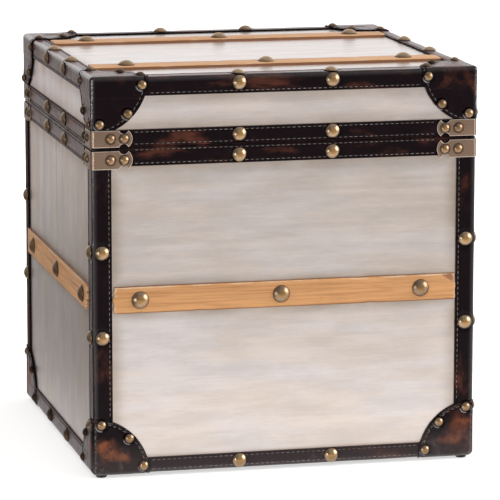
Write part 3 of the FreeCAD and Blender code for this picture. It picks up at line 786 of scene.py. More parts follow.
def aged_brass(name, bright_share):
    """Brass with dark tarnish low on each head and a near black line round its foot, painted as shade. Tone and
    rim are stored on the mesh;
    a tone past the bright share adds tarnish, and a tone raised on nails turned from the light adds painted shade."""
    settings = bpy.context.scene.trunk_metal
    material, tree, shader, where = new_material(name)
    rim, tone = mask_of(tree, "rim"), mask_of(tree, "tone")
    spots = patched(tree, where, 260.0, 0.45, 0.25)
    fine = noise(tree, where, 1500.0, 3.0, 0.6)
    low = ease(tree, rim, 0.80, 0.98)
    tarnish = plus(tree, product(tree, spots, 0.4), product(tree, low, 0.3))
    own = product(tree, minus(tree, tone, bright_share), 0.5)
    tarnish = plus(tree, tarnish, own, clamp=True)
    colour = layers(tree, settings.nail_colour[:], (
        (ease(tree, rim, 0.25, 0.7), settings.nail_edge_colour[:]),
        (tarnish, settings.tarnish_colour[:]),
        (ease(tree, tone, 1.15, 1.9, 0.0, 0.75), shade(settings.tarnish_colour, 0.28)),
        # Painted shade: near black at the very foot of the head.
        (ease(tree, rim, 0.955, 0.99), (0.018, 0.010, 0.006, 1))))
    height = plus(tree, spots, product(tree, fine, 0.5))
    attach(tree, shader, Base_Color=colour, Metallic=1.0, Roughness=ease(tree, tarnish, 0.0, 1.0, 0.26, 0.46),
           Normal=bump(tree, height, 0.00007, 0.5))
    return material


def clip_metal(name, colour_name, roughness):
    """Dull metal of the corner clips, browned in spots, with painted shadow round their nails."""
    settings = bpy.context.scene.trunk_metal
    base = getattr(settings, colour_name)[:]
    material, tree, shader, where = new_material(name)
    spots = patched(tree, where, 60.0, 0.5, 0.3)
    lines = grained(tree, where, (70.0, 70.0, 1400.0))["Lines"]
    face = add(tree, "ShaderNodeNewGeometry").outputs["True Normal"]
    ring = use(tree, nail_rings(), {"Vector": where, "Face": face})["Mask"]
    brown = [c * f for c, f in zip(base, (0.66, 0.57, 0.47))] + [1]
    pits = ease(tree, noise(tree, where, 1100.0, 2.0, 0.6), 0.5, 0.72, 0.0, 0.5)
    # Painted shadow: a dark ring round each nail.
    colour = layers(tree, base, ((product(tree, spots, 0.8), brown), (pits, shade(base, 1.5)),
                                 (product(tree, ring, 0.85), shade(brown, 0.25))))
    attach(tree, shader, Base_Color=colour, Metallic=1.0,
           Roughness=ease(tree, spots, 0.0, 1.0, roughness, roughness + 0.12),
           Normal=bump(tree, plus(tree, lines, spots), 0.00006, 0.5))
    return material


def slat_wood(name, along):
    """Honey-coloured wood whose grain runs along one axis, bare where the mesh says so."""
    settings = bpy.context.scene.trunk_wood
    material, tree, shader, where = new_material(name)
    close = [11.0 if axis == along else 520.0 for axis in range(3)]
    slow = [5.0 if axis == along else 70.0 for axis in range(3)]
    grain = grained(tree, where, close)
    figure = noise(tree, vector_calc(tree, "MULTIPLY", where, slow), 1.0, 3.0, 0.5, 1.5)
    stain = patched(tree, where, 16.0, 0.35, 0.3)
    worn = use(tree, rubbed_edge(), {"Edge": mask_of(tree, "bare"), "Vector": where, "Scale": 210.0,
                                     "Amount": 1.0})["Mask"]
    specks = product(tree, ease(tree, grain["Lines"], 0.60, 0.70), ease(tree, figure, 0.4, 0.6, 0.2, 0.9))
    colour = layers(tree, settings.slat_colour[:], (
        (product(tree, ease(tree, grain["Lines"], 0.42, 0.64), 0.48), settings.dark_colour[:]),
        (product(tree, ease(tree, figure, 0.42, 0.72), 0.34), settings.dark_colour[:]),
        (product(tree, stain, 0.4), settings.dark_colour[:]),
        (product(tree, specks, 0.7), settings.side_colour[:]),
        # Thin sides, partly stain and partly painted shade, and painted shadow lines.
        (product(tree, mask_of(tree, "side"), 0.8), settings.side_colour[:]),
        (product(tree, worn, 0.85), settings.bare_colour[:])))
    attach(tree, shader, Base_Color=colour, Roughness=ease(tree, worn, 0.0, 1.0, 0.46, 0.8),
           Normal=bump(tree, plus(tree, grain["Lines"], worn), 0.00018, 0.6))
    return material


def board_wood():
    """Raw board, its grain across the trunk."""
    settings = bpy.context.scene.trunk_wood
    material, tree, shader, where = new_material("raw board")
    grain = grained(tree, where, (7.0, 260.0, 260.0))
    rings = noise(tree, vector_calc(tree, "MULTIPLY", where, (1.5, 26.0, 26.0)), 1.0, 3.0, 0.5, 2.0)
    colour = layers(tree, settings.board_colour[:], (
        (ease(tree, rings, 0.4, 0.65), shade(settings.board_colour, 0.72)),
        (product(tree, ease(tree, grain["Lines"], 0.45, 0.7), 0.5), shade(settings.board_colour, 0.55))))
    attach(tree, shader, Base_Color=colour, Roughness=0.75, Normal=bump(tree, grain["Lines"], 0.0002, 0.5))
    return material


def lining_cloth():
    """Plain woven cotton: warp and weft cross over and under, on the piece's own map in metres."""
    settings = bpy.context.scene.trunk_cloth
    material, tree, shader, where = new_material("woven lining")
    chart = add(tree, "ShaderNodeUVMap", uv_map="weave").outputs[0]
    turn = math.pi / settings.thread_spacing
    axes = parts(tree, times(tree, chart, turn))
    waves = [calc(tree, "SINE", axis) for axis in axes[:2]]
    warp, weft = [calc(tree, "ABSOLUTE", wave) for wave in waves]
    over = ease(tree, product(tree, *waves), -0.2, 0.2)
    height = plus(tree, product(tree, warp, over), product(tree, weft, rest(tree, over)))
    slubs = noise(tree, vector_calc(tree, "MULTIPLY", where, (40.0, 40.0, 500.0)), 1.0, 3.0)
    clouds = noise(tree, where, 9.0, 4.0, 0.6)
    # Painted shade: the cloth is darker between its threads. The slubs and clouds below take the same colour.
    colour = blend(tree, ease(tree, height, 0.25, 0.9), settings.shade_and_slub_colour[:], settings.colour[:])
    colour = layers(tree, colour, (
        (product(tree, ease(tree, slubs, 0.5, 0.8), 0.3), settings.shade_and_slub_colour[:]),
        (product(tree, ease(tree, clouds, 0.4, 0.75), 0.25), settings.shade_and_slub_colour[:])))
    attach(tree, shader, Base_Color=colour, Roughness=0.92, Sheen_Weight=0.15,
           Normal=bump(tree, height, 0.00025, 0.6))
    return material


def glide_black():
    """Scuffed black plastic."""
    material, tree, shader, where = new_material("black glide")
    scuffs = patched(tree, where, 220.0, 0.4, 0.2)
    colour = blend(tree, scuffs, (0.012, 0.012, 0.013, 1), (0.035, 0.034, 0.033, 1))
    attach(tree, shader, Base_Color=colour, Roughness=ease(tree, scuffs, 0.0, 1.0, 0.42, 0.62),
           Normal=bump(tree, scuffs, 0.00005, 0.5))
    return material


finishes = {}


def finish(name):
    """A finish of the trunk, made the first time that a piece asks for it."""
    makers = {
        "sheet": sheet_metal,
        "leather": leather,
        "thread": thread,
        "nail": lambda: aged_brass("antique brass nail", 0.5),
        "hinge": lambda: aged_brass("aged hinge brass", 0.35),
        "clip": lambda: clip_metal("dulled clip", "clip_colour", 0.34),
        "clip edge": lambda: clip_metal("bright clip edge", "clip_highlight_colour", 0.34),
        "slat x": lambda: slat_wood("slat wood along x", 0),
        "slat y": lambda: slat_wood("slat wood along y", 1),
        "board": board_wood,
        "lining": lining_cloth,
        "glide": glide_black,
    }
    if name not in finishes:
        finishes[name] = makers[name]()
    return finishes[name]


# Nails of the frame

def nail_places(node):
    """Each nail of a CAD node, in the order of their places: its place under the head, the way it
    faces, head radius, dome and shank."""
    found = []
    mesh = bmesh.new()
    mesh.from_mesh(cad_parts[node].data)
    bmesh.ops.remove_doubles(mesh, verts=mesh.verts, dist=merge_distance)
    left = set(mesh.verts)
    while left:
        seed = left.pop()
        island, edge = [seed], [seed]
        while edge:
            for link in edge.pop().link_edges:
                for near in link.verts:
                    if near in left:
                        left.discard(near)
                        island.append(near)
                        edge.append(near)
        found.append(measure_nail(np.array([v.co for v in island])))
    mesh.free()
    return sorted(found, key=lambda nail: [round(v, 4) for v in nail["place"]])


def measure_nail(points):
    """Where a nail's head sits, which way it faces, and its sizes."""
    middle = (points.max(0) + points.min(0)) / 2
    planes = {"front": abs(middle[1] + half_depth), "back": abs(middle[1] - half_depth),
              "left": abs(middle[0] + half_width), "right": abs(middle[0] - half_width),
              "top": abs(middle[2] - top_z)}
    side = min(planes, key=planes.get)
    out = np.array(faces.get(side, (0, 0, 1)), float)
    rise = points @ out
    flat = points - np.outer(rise, out)
    centre = (flat.max(0) + flat.min(0)) / 2
    reach = np.linalg.norm(flat - centre, axis=1)
    head = reach.max()
    seat = rise[reach > head * 0.999].min()
    return {"place": Vector(centre + out * seat), "out": Vector(out), "head": float(head),
            "dome": float(rise.max() - seat), "shank": float(seat - rise.min())}


nail_nodes = ("chest_binding_nails", "chest_slat_nails", "chest_small_nails",
              "lid_binding_nails", "lid_slat_nails", "lid_small_nails")
nails = {node: nail_places(node) for node in nail_nodes}
clip_nails = [nail for node in ("chest_small_nails", "lid_small_nails") for nail in nails[node]
              if nail["out"].y < -0.5 and nail["place"].x < 0
              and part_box("chest_corner_clips")[0].z < nail["place"].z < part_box("lid_corner_clips")[1].z]
clip_nail_places = [(half_width + nail["place"].x, nail["place"].z) for nail in clip_nails]
clip_nail_head = clip_nails[0]["head"]


# Leather

def soften(obj, body, grow, radius):
    """Move a sheet's points from a sharp-edged box onto the same box with round edges."""
    points = read_points(obj)
    low = np.array([-half_width - grow, -half_depth - grow, base_z - grow if body == "chest" else -1.0])
    high = np.array([half_width + grow, half_depth + grow, top_z + grow if body == "lid" else 1.0])
    core = np.clip(points, low + radius, high - radius)
    away = points - core
    length = np.linalg.norm(away, axis=1, keepdims=True)
    write_points(obj, np.where(length > 1e-9, core + away / np.maximum(length, 1e-9) * radius, points))


def press(obj, seams, grow, mottle, upright, dull_and_shade, scuff, border):
    """Sink a leather sheet's seams and nail dimples, let it wander a little, and store its masks.

    Mottle is the share of it that is rubbed brown, a number or a sum on the points, upright is 1 where
    its streaks run up, dull_and_shade is how far its polish has gone and how dark it is painted as shade,
    a number or a sum on points and normals, scuff is how pale its fold is painted as a highlight,
    and border gives the pale marks along an open border, partly wear and partly painted highlight."""
    settings = bpy.context.scene.trunk_leather
    points, normals = read_points(obj), read_normals(obj)
    mottle = mottle(points) if callable(mottle) else mottle
    dull_and_shade = dull_and_shade(points, normals) if callable(dull_and_shade) else dull_and_shade
    offsets = np.full_like(points, far_off)
    lift = (blotches(points, 0.055, 3) * settings.softness * 0.6
            + blotches(points, 0.017, 5) * settings.softness * 0.4)
    clear = np.ones(len(points))
    for group in nails.values():
        for nail in group:
            out = np.array(nail["out"])
            away = points - np.array(nail["place"])
            rise = away @ out
            flat = np.linalg.norm(away - np.outer(rise, out), axis=1)
            head = nail["head"]
            near = (np.abs(rise) < 0.004) & (normals @ out > 0.6)
            ring = 1 - step(flat, head * 0.9, head + 0.0024)
            swell = (step(flat, head + 0.0012, head + swell_reach)
                     * (1 - step(flat, head + swell_reach, head + 0.008)))
            lift += near * (swell * settings.dimple * 0.3 - ring * settings.dimple * 0.5)
            close = near & (flat < head * nail_surround)
            offsets[close] = away[close] / head
            far = np.linalg.norm(away, axis=1) / (head * nail_surround)
            clear = np.minimum(clear, 1 - 0.45 * np.exp(-far ** 2))
    seam = np.zeros(len(points))
    for away in seams(points):
        seam = np.maximum(seam, np.exp(-(away / seam_spread) ** 2))
    lift -= seam * settings.seam_depth
    low = np.array([-half_width - grow, -half_depth - grow, base_z - grow])
    high = np.array([half_width + grow, half_depth + grow, top_z + grow])
    inset = np.sort(np.minimum(points - low, high - points), axis=1)
    write_points(obj, points + normals * lift[:, None])
    low_down = 1 - step(points[:, 2], 0.10, 0.24)
    write_mask(obj, "seam", np.maximum(seam, dull_and_shade))
    write_mask(obj, "rub", 1 - step(inset[:, 1], 0.0015, 0.0065))
    if upright > 0.9:
        mottle = mottle + upright * (0.09 * low_down + 0.03 * (points[:, 0] > 0))
    write_mask(obj, "mottle", mottle * clear)
    write_mask(obj, "upright", np.full(len(points), upright))
    # A line on each upright fold, about a quarter turn from the front to the side, is painted pale as a highlight.
    turned = np.abs(normals)
    fold = np.exp(-((turned[:, 0] - 0.45) / 0.2) ** 2) * (turned[:, 2] < 0.3) * (turned[:, 1] > 0.3)
    fold *= inset[:, 1] < 0.0045
    write_mask(obj, "scuff", np.maximum(fold * scuff, border(points) if border else 0))
    write_offsets(obj, "nail", offsets)


def border_mask(obj):
    """Raise the seam mask along a sheet's open border, as a painted shade line, before it gets its thickness."""
    mesh = bmesh.new()
    mesh.from_mesh(obj.data)
    rim = np.array([v.co.copy() for v in mesh.verts if v.is_boundary])
    mesh.free()
    points = read_points(obj)
    near = np.full(len(points), 1.0)
    for start in range(0, len(rim), 400):
        away = points[:, None] - rim[None, start:start + 400]
        near = np.minimum(near, np.sqrt((away ** 2).sum(2)).min(1))
    values = np.zeros(len(points), np.float32)
    obj.data.attributes["seam"].data.foreach_get("value", values)
    write_mask(obj, "seam", np.maximum(values, 0.9 * (1 - step(near, border_shade_width * 0.3, border_shade_width))))


def cut_rows(obj, axis, cell):
    """Cut every edge that runs along an axis into short lengths."""
    points = [v.co for v in obj.data.vertices]
    along = Vector(axis)
    longest = max(abs((points[a] - points[b]).dot(along)) for a, b in obj.data.edge_keys)
    open_mesh(obj)
    choose_edges(obj, runs_along(axis))
    bpy.ops.mesh.subdivide(number_cuts=max(1, round(longest / cell) - 1))
    put_down()


def slice_near_edges(obj, places):
    """Add fine rows beside sharp edges, which are about to be rounded. A place is a point and an axis."""
    turn = bpy.context.scene.trunk_leather.edge_round
    open_mesh(obj)
    for point, axis in places:
        for share in turn_rows:
            slice_at(Vector(point) - Vector(axis) * turn * share, axis)
    put_down()


def slice_seams(planes):
    """In edit mode, add a row along each seam and close rows on both sides of it."""
    for point, normal in planes:
        for away in seam_rows:
            slice_at(Vector(point) + Vector(normal) * away, normal)


def strip(name, start, end, out_a, out_b, leg_a, leg_b, mitres, seam_planes):
    """A leather strip folded over one edge of the trunk, still without thickness.

    The edge runs from start to end. The first leg lies on the face that looks to out_a and is leg_a
    wide, and the second on the face that looks to out_b. A mitre is a plane that ends the strip."""
    cell = bpy.context.scene.trunk_leather.cell
    start, end, out_a, out_b = Vector(start), Vector(end), Vector(out_a), Vector(out_b)
    far = end - out_b * leg_a - out_a * leg_b
    obj = block(name, [min(p) for p in zip(start, far)], [max(p) for p in zip(start, far)])
    open_mesh(obj)
    choose_faces(obj, lambda middle, normal: normal.dot(out_a) < 0.5 and normal.dot(out_b) < 0.5)
    bpy.ops.mesh.delete(type="FACE")
    put_down()
    for axis in (out_a, out_b, (end - start).normalized()):
        cut_rows(obj, axis, cell)
    open_mesh(obj)
    slice_seams(seam_planes)
    for point, normal in mitres:
        slice_at(point, normal, drop=True)
    put_down()
    slice_near_edges(obj, ((start, out_a), (start, out_b)))
    return obj


def flat_seams(*planes):
    """Seams that lie in planes: each plane is a point and a normal."""
    def distances(points):
        for point, normal in planes:
            yield np.abs((points - np.array(point)) @ np.array(normal))
    return distances


def round_rim(points, near, up):
    """Points of a square ring with its upright edges and its meeting edge made round."""
    settings = bpy.context.scene.trunk_leather
    turn, fold = settings.edge_round, settings.rim_round
    flat = points[:, :2]
    core = np.clip(flat, np.array([-half_width, -half_depth]) + turn, np.array([half_width, half_depth]) - turn)
    away = flat - core
    largest = np.abs(away).max(1)
    length = np.linalg.norm(away, axis=1)
    share = np.where(length > 1e-9, largest / np.maximum(length, 1e-9), 1)
    flat = core + away * share[:, None]
    out = away / np.maximum(length, 1e-9)[:, None]
    deep, below = turn - largest, (near - points[:, 2]) * up
    folded = (deep < fold) & (below < fold)
    across = np.stack([deep - fold, below - fold], axis=1)
    across = across / np.maximum(np.linalg.norm(across, axis=1, keepdims=True), 1e-9) * fold + fold
    flat = np.where(folded[:, None], flat + out * (deep - across[:, 0])[:, None], flat)
    rise = np.where(folded, near - up * across[:, 1], points[:, 2])
    return np.column_stack([flat, rise])


def bind(obj, seams, mottle, upright=0.0, dull_and_shade=0.0, grow=0.0, scuff=0.0, border=None):
    """Turn a folded sheet into finished leather, with its thickness inwards and soft borders.

    Grow is how far a cover stands over the bindings, which is its thickness too."""
    press(obj, seams, grow, mottle, upright, dull_and_shade, scuff, border)
    border_mask(obj)
    leather_skins[obj.name] = BVHTree.FromPolygons([v.co for v in obj.data.vertices],
                                                   [p.vertices for p in obj.data.polygons])
    finish_with(obj, "SOLIDIFY", thickness=grow or binding_thickness, offset=-1)
    finish_with(obj, "BEVEL", width=leather_turn, segments=2, limit_method="ANGLE", angle_limit=math.radians(50))
    smooth(obj, 55)
    wear_material(obj, finish("leather"))


leather_skins = {}
stitch_lines = {"chest": [], "lid": []}


def stitch_line(body, skin, points, out):
    """Note a row of stitches along a line of points on one piece of leather."""
    stitch_lines[body].append((skin, [Vector(p) for p in points], out))


def stitch_row(body, skin, middle, half, out):
    """Note a straight row of stitches that runs as far to both sides of its middle."""
    stitch_line(body, skin, [middle - half, middle + half], out)


def lie_of(side):
    """How a side lies: the direction along it, half its length, and its distance from the middle."""
    if side in ("front", "back"):
        return Vector((1, 0, 0)), half_width, half_depth
    return Vector((0, 1, 0)), half_depth, half_width


class TRUNK_OT_bindings(Operator):
    """Make the leather strips along the trunk's edges, with their seams, dimples and soft folds"""
    bl_idname = "trunk.bindings"
    bl_label = "Leather bindings"

    def execute(self, context):
        settings = context.scene.trunk_leather
        inset, turn = settings.seam_inset, settings.edge_round
        for corner, (sx, sy) in corner_signs.items():
            self.upright(corner, sx, sy, inset, turn)
        for side, out in faces.items():
            self.bottom(side, Vector(out), inset, turn)
            self.lid(side, Vector(out), inset, turn)
        self.rim("chest", chest_rim_low, chest_rim_z, inset)
        self.rim("lid", lid_rim_high, lid_rim_z, inset)
        return {"FINISHED"}

    def upright(self, corner, sx, sy, inset, turn):
        """A strip down one upright edge."""
        low, high = base_z + bottom_leg_front, chest_rim_low
        x, y = sx * (half_width - edge_leg + inset), sy * (half_depth - edge_leg + inset)
        planes = [((x, 0, 0), (1, 0, 0)), ((0, y, 0), (0, 1, 0))]
        obj = strip("leather_edge_" + corner, (sx * half_width, sy * half_depth, low),
                    (sx * half_width, sy * half_depth, high), (0, sy, 0), (sx, 0, 0), edge_leg, edge_leg,
                    [], planes)
        soften(obj, "chest", 0.0, turn)
        # The back strips are painted dark as shade and made rougher.
        bind(obj, flat_seams(*planes), 0.36, 1.0, 0.75 if sy > 0 else 0.0)
        settle(obj, "chest", "dark_leather", "edge_binding_" + corner)
        stitch_line("chest", obj.name, [(x, sy * half_depth, low), (x, sy * half_depth, high)], (0, sy, 0))
        stitch_line("chest", obj.name, [(sx * half_width, y, low), (sx * half_width, y, high)], (sx, 0, 0))

    def bottom(self, side, out, inset, turn):
        """A strip along one bottom edge."""
        along, half, reach = lie_of(side)
        leg = bottom_leg_front if side in ("front", "back") else bottom_leg_side
        mid, run = out * reach, along * half
        start, end = mid - run, mid + run
        start.z = end.z = base_z
        slant = [(p.copy(), (along * s - out).normalized()) for p, s in ((start, -1), (end, 1))]
        planes = [((0, 0, base_z + leg - inset), (0, 0, 1)),
                  (out * (reach - bottom_leg_under + inset), out),
                  ((0, 0, base_z + inset * 0.9), (0, 0, 1))]
        obj = strip("leather_bottom_" + side, start, end, out, (0, 0, -1), leg, bottom_leg_under, slant, planes)
        soften(obj, "chest", 0.0, turn)
        bind(obj, flat_seams(planes[0]), 0.36)
        settle(obj, "chest", "dark_leather", "bottom_binding_" + side)
        for z in (base_z + leg - inset, base_z + inset * 1.35):
            stitch_row("chest", obj.name, mid + Vector((0, 0, z)), run, out)

    def lid(self, side, out, inset, turn):
        """A strip along one top edge of the lid."""
        along, half, reach = lie_of(side)
        leg_top, other = lid_leg_top_front, lid_leg_top_side
        if side in ("left", "right"):
            leg_top, other = other, leg_top
        mid, run = out * reach, along * half
        start, end = mid - run, mid + run
        start.z = end.z = top_z
        slant = [(p.copy(), (along * s * leg_top - out * other).normalized()) for p, s in ((start, -1), (end, 1))]
        planes = [((0, 0, top_z - lid_leg_face + inset), (0, 0, 1)), (out * (reach - leg_top + inset), out)]
        obj = strip("leather_lid_" + side, start, end, out, (0, 0, 1), lid_leg_face, leg_top, slant, planes)
        soften(obj, "lid", 0.0, turn)
        bind(obj, flat_seams(*planes), 0.43)
        settle(obj, "lid", "dark_leather", "lid_binding_" + side)
        stitch_row("lid", obj.name, mid + Vector((0, 0, top_z - lid_leg_face + inset)), run, out)
        stitch_row("lid", obj.name, out * (reach - leg_top + inset) + Vector((0, 0, top_z)), run, (0, 0, 1))

    def rim(self, body, far, near, inset):
        """A strip folded over the edge where chest and lid meet, all round."""
        settings = bpy.context.scene.trunk_leather
        up = 1 if near > far else -1
        obj = block("leather_rim_" + body, (-half_width, -half_depth, min(far, near)),
                    (half_width, half_depth, max(far, near)))
        open_mesh(obj)
        choose_faces(obj, lambda middle, normal: normal.z * up < -0.5)
        bpy.ops.mesh.delete(type="FACE")
        choose_faces(obj, lambda middle, normal: normal.z * up > 0.5)
        bpy.ops.mesh.inset(thickness=settings.rim_flange)
        bpy.ops.mesh.delete(type="FACE")
        choose_edges(obj, lambda a, b: abs(a.z - b.z) < merge_distance
                     and abs(a.x - b.x) > 0.001 and abs(a.y - b.y) > 0.001)
        bpy.ops.mesh.subdivide(number_cuts=5)
        put_down()
        cut_rows(obj, (0, 0, 1), settings.cell)
        cut_rows(obj, (1, 0, 0), settings.cell * 1.4)
        cut_rows(obj, (0, 1, 0), settings.cell * 1.4)
        planes = [((0, 0, far + up * inset), (0, 0, 1)), ((0, 0, near - up * inset), (0, 0, 1))]
        open_mesh(obj)
        slice_seams(planes)
        for share in turn_rows:
            slice_at((0, 0, near - up * settings.rim_round * share), (0, 0, 1))
        put_down()
        slice_near_edges(obj, [(Vector(out) * lie_of(side)[2], out) for side, out in faces.items()])
        write_points(obj, round_rim(read_points(obj), near, up))
        bind(obj, flat_seams(*planes), 0.47)
        settle(obj, body, "dark_leather", body + "_rim_binding")
        for (_, _, z), _ in planes:
            for side, out in faces.items():
                along, half, reach = lie_of(side)
                stitch_row(body, obj.name, Vector(out) * reach + Vector((0, 0, z)), along * half, out)


class TRUNK_OT_covers(Operator):
    """Make the leather covers of the trunk's eight corners"""
    bl_idname = "trunk.covers"
    bl_label = "Corner covers"

    def execute(self, context):
        for corner, (sx, sy) in corner_signs.items():
            for body, sz in (("chest", -1), ("lid", 1)):
                self.cover(corner, body, sx, sy, sz)
        return {"FINISHED"}

    def cover(self, corner, body, sx, sy, sz):
        """One cover: a corner's three quarter rounds, folded over its edges."""
        settings = bpy.context.scene.trunk_leather
        reach = cover_radius + cover_proud
        obj = block(("leather_cover_lid_" if body == "lid" else "leather_cover_bottom_") + corner,
                    (0, 0, 0), (reach, reach, reach))
        open_mesh(obj)
        choose_faces(obj, lambda middle, normal: normal.x + normal.y + normal.z > 0.5)
        bpy.ops.mesh.delete(type="FACE")
        bpy.ops.mesh.select_all(action="SELECT")
        bpy.ops.mesh.subdivide(number_cuts=settings.cover_cuts)
        put_down()
        points = read_points(obj)
        longest = points.max(1)
        cell = reach / (settings.cover_cuts + 1)
        even = [0, cell, cell * 2, cell * 3, cell * 4, cell * 5, cell * 6, cell * 8, 1]
        close = [0, 0.0009, 0.0021, 0.0031, 0.0040, 0.0049, 0.0062, cell * 8, 1]
        longest = reach - np.interp(reach - longest, even, close)
        radius = np.linalg.norm(points, axis=1)
        share = np.where(radius > 1e-9, longest / np.maximum(radius, 1e-9), 1)
        centre = np.array([sx * (half_width + cover_proud), sy * (half_depth + cover_proud),
                           top_z + cover_proud if sz > 0 else base_z - cover_proud])
        signs = np.array([sx, sy, sz], float)
        write_points(obj, centre - points * share[:, None] * signs)
        if sx * sy * sz > 0:
            open_mesh(obj)
            bpy.ops.mesh.select_all(action="SELECT")
            bpy.ops.mesh.flip_normals()
            put_down()
        if body == "lid":
            open_mesh(obj)
            slice_at((0, 0, lid_rim_high + 0.0002), (0, 0, -1), drop=True)
            put_down()
        seam_at = settings.seam_inset + 0.0010

        def seams(points):
            yield np.abs(np.linalg.norm(points - centre, axis=1) - (reach - seam_at))
        slice_near_edges(obj, [(centre, tuple(sign if i == axis else 0 for i in range(3)))
                               for axis, sign in enumerate(signs)])
        turn = settings.cover_round if body == "chest" else settings.edge_round + cover_proud
        soften(obj, body, cover_proud, turn)
        self.telegraph(obj, sz)

        def mottle(points):
            far = np.linalg.norm(points - centre, axis=1) / reach
            if body == "lid":
                return (0.32 if sx > 0 else 0.26) + 0.1 * np.exp(-((far - 0.6) / 0.25) ** 2)
            across, up = np.abs(points - centre)[:, :2].max(1), np.abs(points - centre)[:, 2]
            patch = np.exp(-((across - 0.0155) / 0.0145) ** 2 - ((up - 0.034) / 0.014) ** 2)
            tail = np.exp(-((across - 0.035) / 0.012) ** 2 - ((up - 0.020) / 0.008) ** 2)
            return 0.51 + (0.30 if sx > 0 else 0.46) * patch + 0.20 * tail - 0.2 * step(far, 0.66, 0.9)

        # On the bottom covers' side faces, next to the upright fold, the leather is painted dark as shade and made
        # rougher.
        def dull_and_shade(points, normals):
            beside = half_depth + cover_proud - np.abs(points[:, 1])
            return 0.9 * (np.abs(normals[:, 0]) > 0.6) * (1 - step(beside, 0.010, 0.018)) * (body == "chest")

        # Pale marks along the border line and at the corner point: partly wear, partly painted highlight.
        def border(points):
            edge = reach - np.linalg.norm(points - centre, axis=1)
            worn = 0.30 * np.exp(-((edge - 0.0021) / 0.0009) ** 2) + 0.45 * step(edge, reach * 0.88, reach * 0.93)
            corner = 0.8 * np.exp(-((reach - edge) / 0.010) ** 2)
            return np.maximum(worn, corner) * (body == "chest")
        bind(obj, seams, mottle, 0.7, dull_and_shade, cover_proud, 0.9 if body == "lid" else 0.3, border)
        settle(obj, body, "dark_leather", ("lid_cover_" if body == "lid" else "bottom_cover_") + corner)
        self.arcs(body, obj.name, centre, signs, reach - seam_at)

    def telegraph(self, obj, sz):
        """Let the cover sink where it passes off the strips below, so that their edges show through."""
        points, normals = read_points(obj), read_normals(obj)
        z = top_z - points[:, 2] if sz > 0 else points[:, 2] - base_z
        x, y = half_width - np.abs(points[:, 0]), half_depth - np.abs(points[:, 1])
        legs = ((lid_leg_face, 0.0, lid_leg_top_side, lid_leg_top_front) if sz > 0
                else (bottom_leg_front, edge_leg, bottom_leg_under, bottom_leg_under))
        beyond, off_x, off_y, deep_x, deep_y = [
            step(away, leg, leg + strip_fade) for away, leg in
            ((z, legs[0]), (x, legs[1]), (y, legs[1]), (x, legs[2]), (y, legs[3]))]
        facing = np.abs(normals) > 0.7
        sink = beyond * off_x * facing[:, 1] + beyond * off_y * facing[:, 0] + deep_x * deep_y * facing[:, 2]
        write_points(obj, points - normals * (sink * strip_step)[:, None])

    def arcs(self, body, name, centre, signs, radius):
        """Rows of stitches round the cover's three round borders."""
        for flat in range(3):
            first, second = [i for i in range(3) if i != flat]
            out = [0.0, 0.0, 0.0]
            out[flat] = signs[flat]
            points = []
            for i in range(41):
                angle = math.pi / 2 * (0.045 + 0.91 * i / 40)
                place = np.array(centre)
                place[first] -= signs[first] * radius * math.cos(angle)
                place[second] -= signs[second] * radius * math.sin(angle)
                points.append(place)
            stitch_line(body, name, points, out)


def copies(name, master, places):
    """One mesh of many copies of a master. A place is a matrix and the tone that its mask carries."""
    points = read_points(master)
    sides = [list(p.vertices) for p in master.data.polygons]
    rim = np.zeros(len(points), np.float32)
    if master.data.attributes.get("rim"):
        master.data.attributes["rim"].data.foreach_get("value", rim)
    all_points, all_sides, tones, rims = [], [], [], []
    for i, (matrix, tone) in enumerate(places):
        turn = np.array(matrix)
        all_points.append(points @ turn[:3, :3].T + turn[:3, 3])
        all_sides += [[v + i * len(points) for v in side] for side in sides]
        tones.append(np.full(len(points), tone))
        rims.append(rim)
    mesh = bpy.data.meshes.new(name)
    mesh.from_pydata(np.concatenate(all_points).tolist(), [], all_sides)
    obj = bpy.data.objects.new(name, mesh)
    bpy.context.scene.collection.objects.link(obj)
    write_mask(obj, "tone", np.concatenate(tones))
    write_mask(obj, "rim", np.concatenate(rims))
    return obj


def discard(obj):
    """Remove a master once its copies are made."""
    data = obj.data
    bpy.data.objects.remove(obj)
    bpy.data.meshes.remove(data)


def frame_of(place, x_axis, out, twist=0.0):
    """A matrix at a place with its Z outwards and its X along a direction."""
    out = Vector(out).normalized()
    x_axis = Vector(x_axis)
    x_axis = (x_axis - out * x_axis.dot(out)).normalized()
    x_axis = Matrix.Rotation(twist, 3, out) @ x_axis
    y_axis = out.cross(x_axis)
    matrix = Matrix((x_axis, y_axis, out)).transposed().to_4x4()
    matrix.translation = place
    return matrix


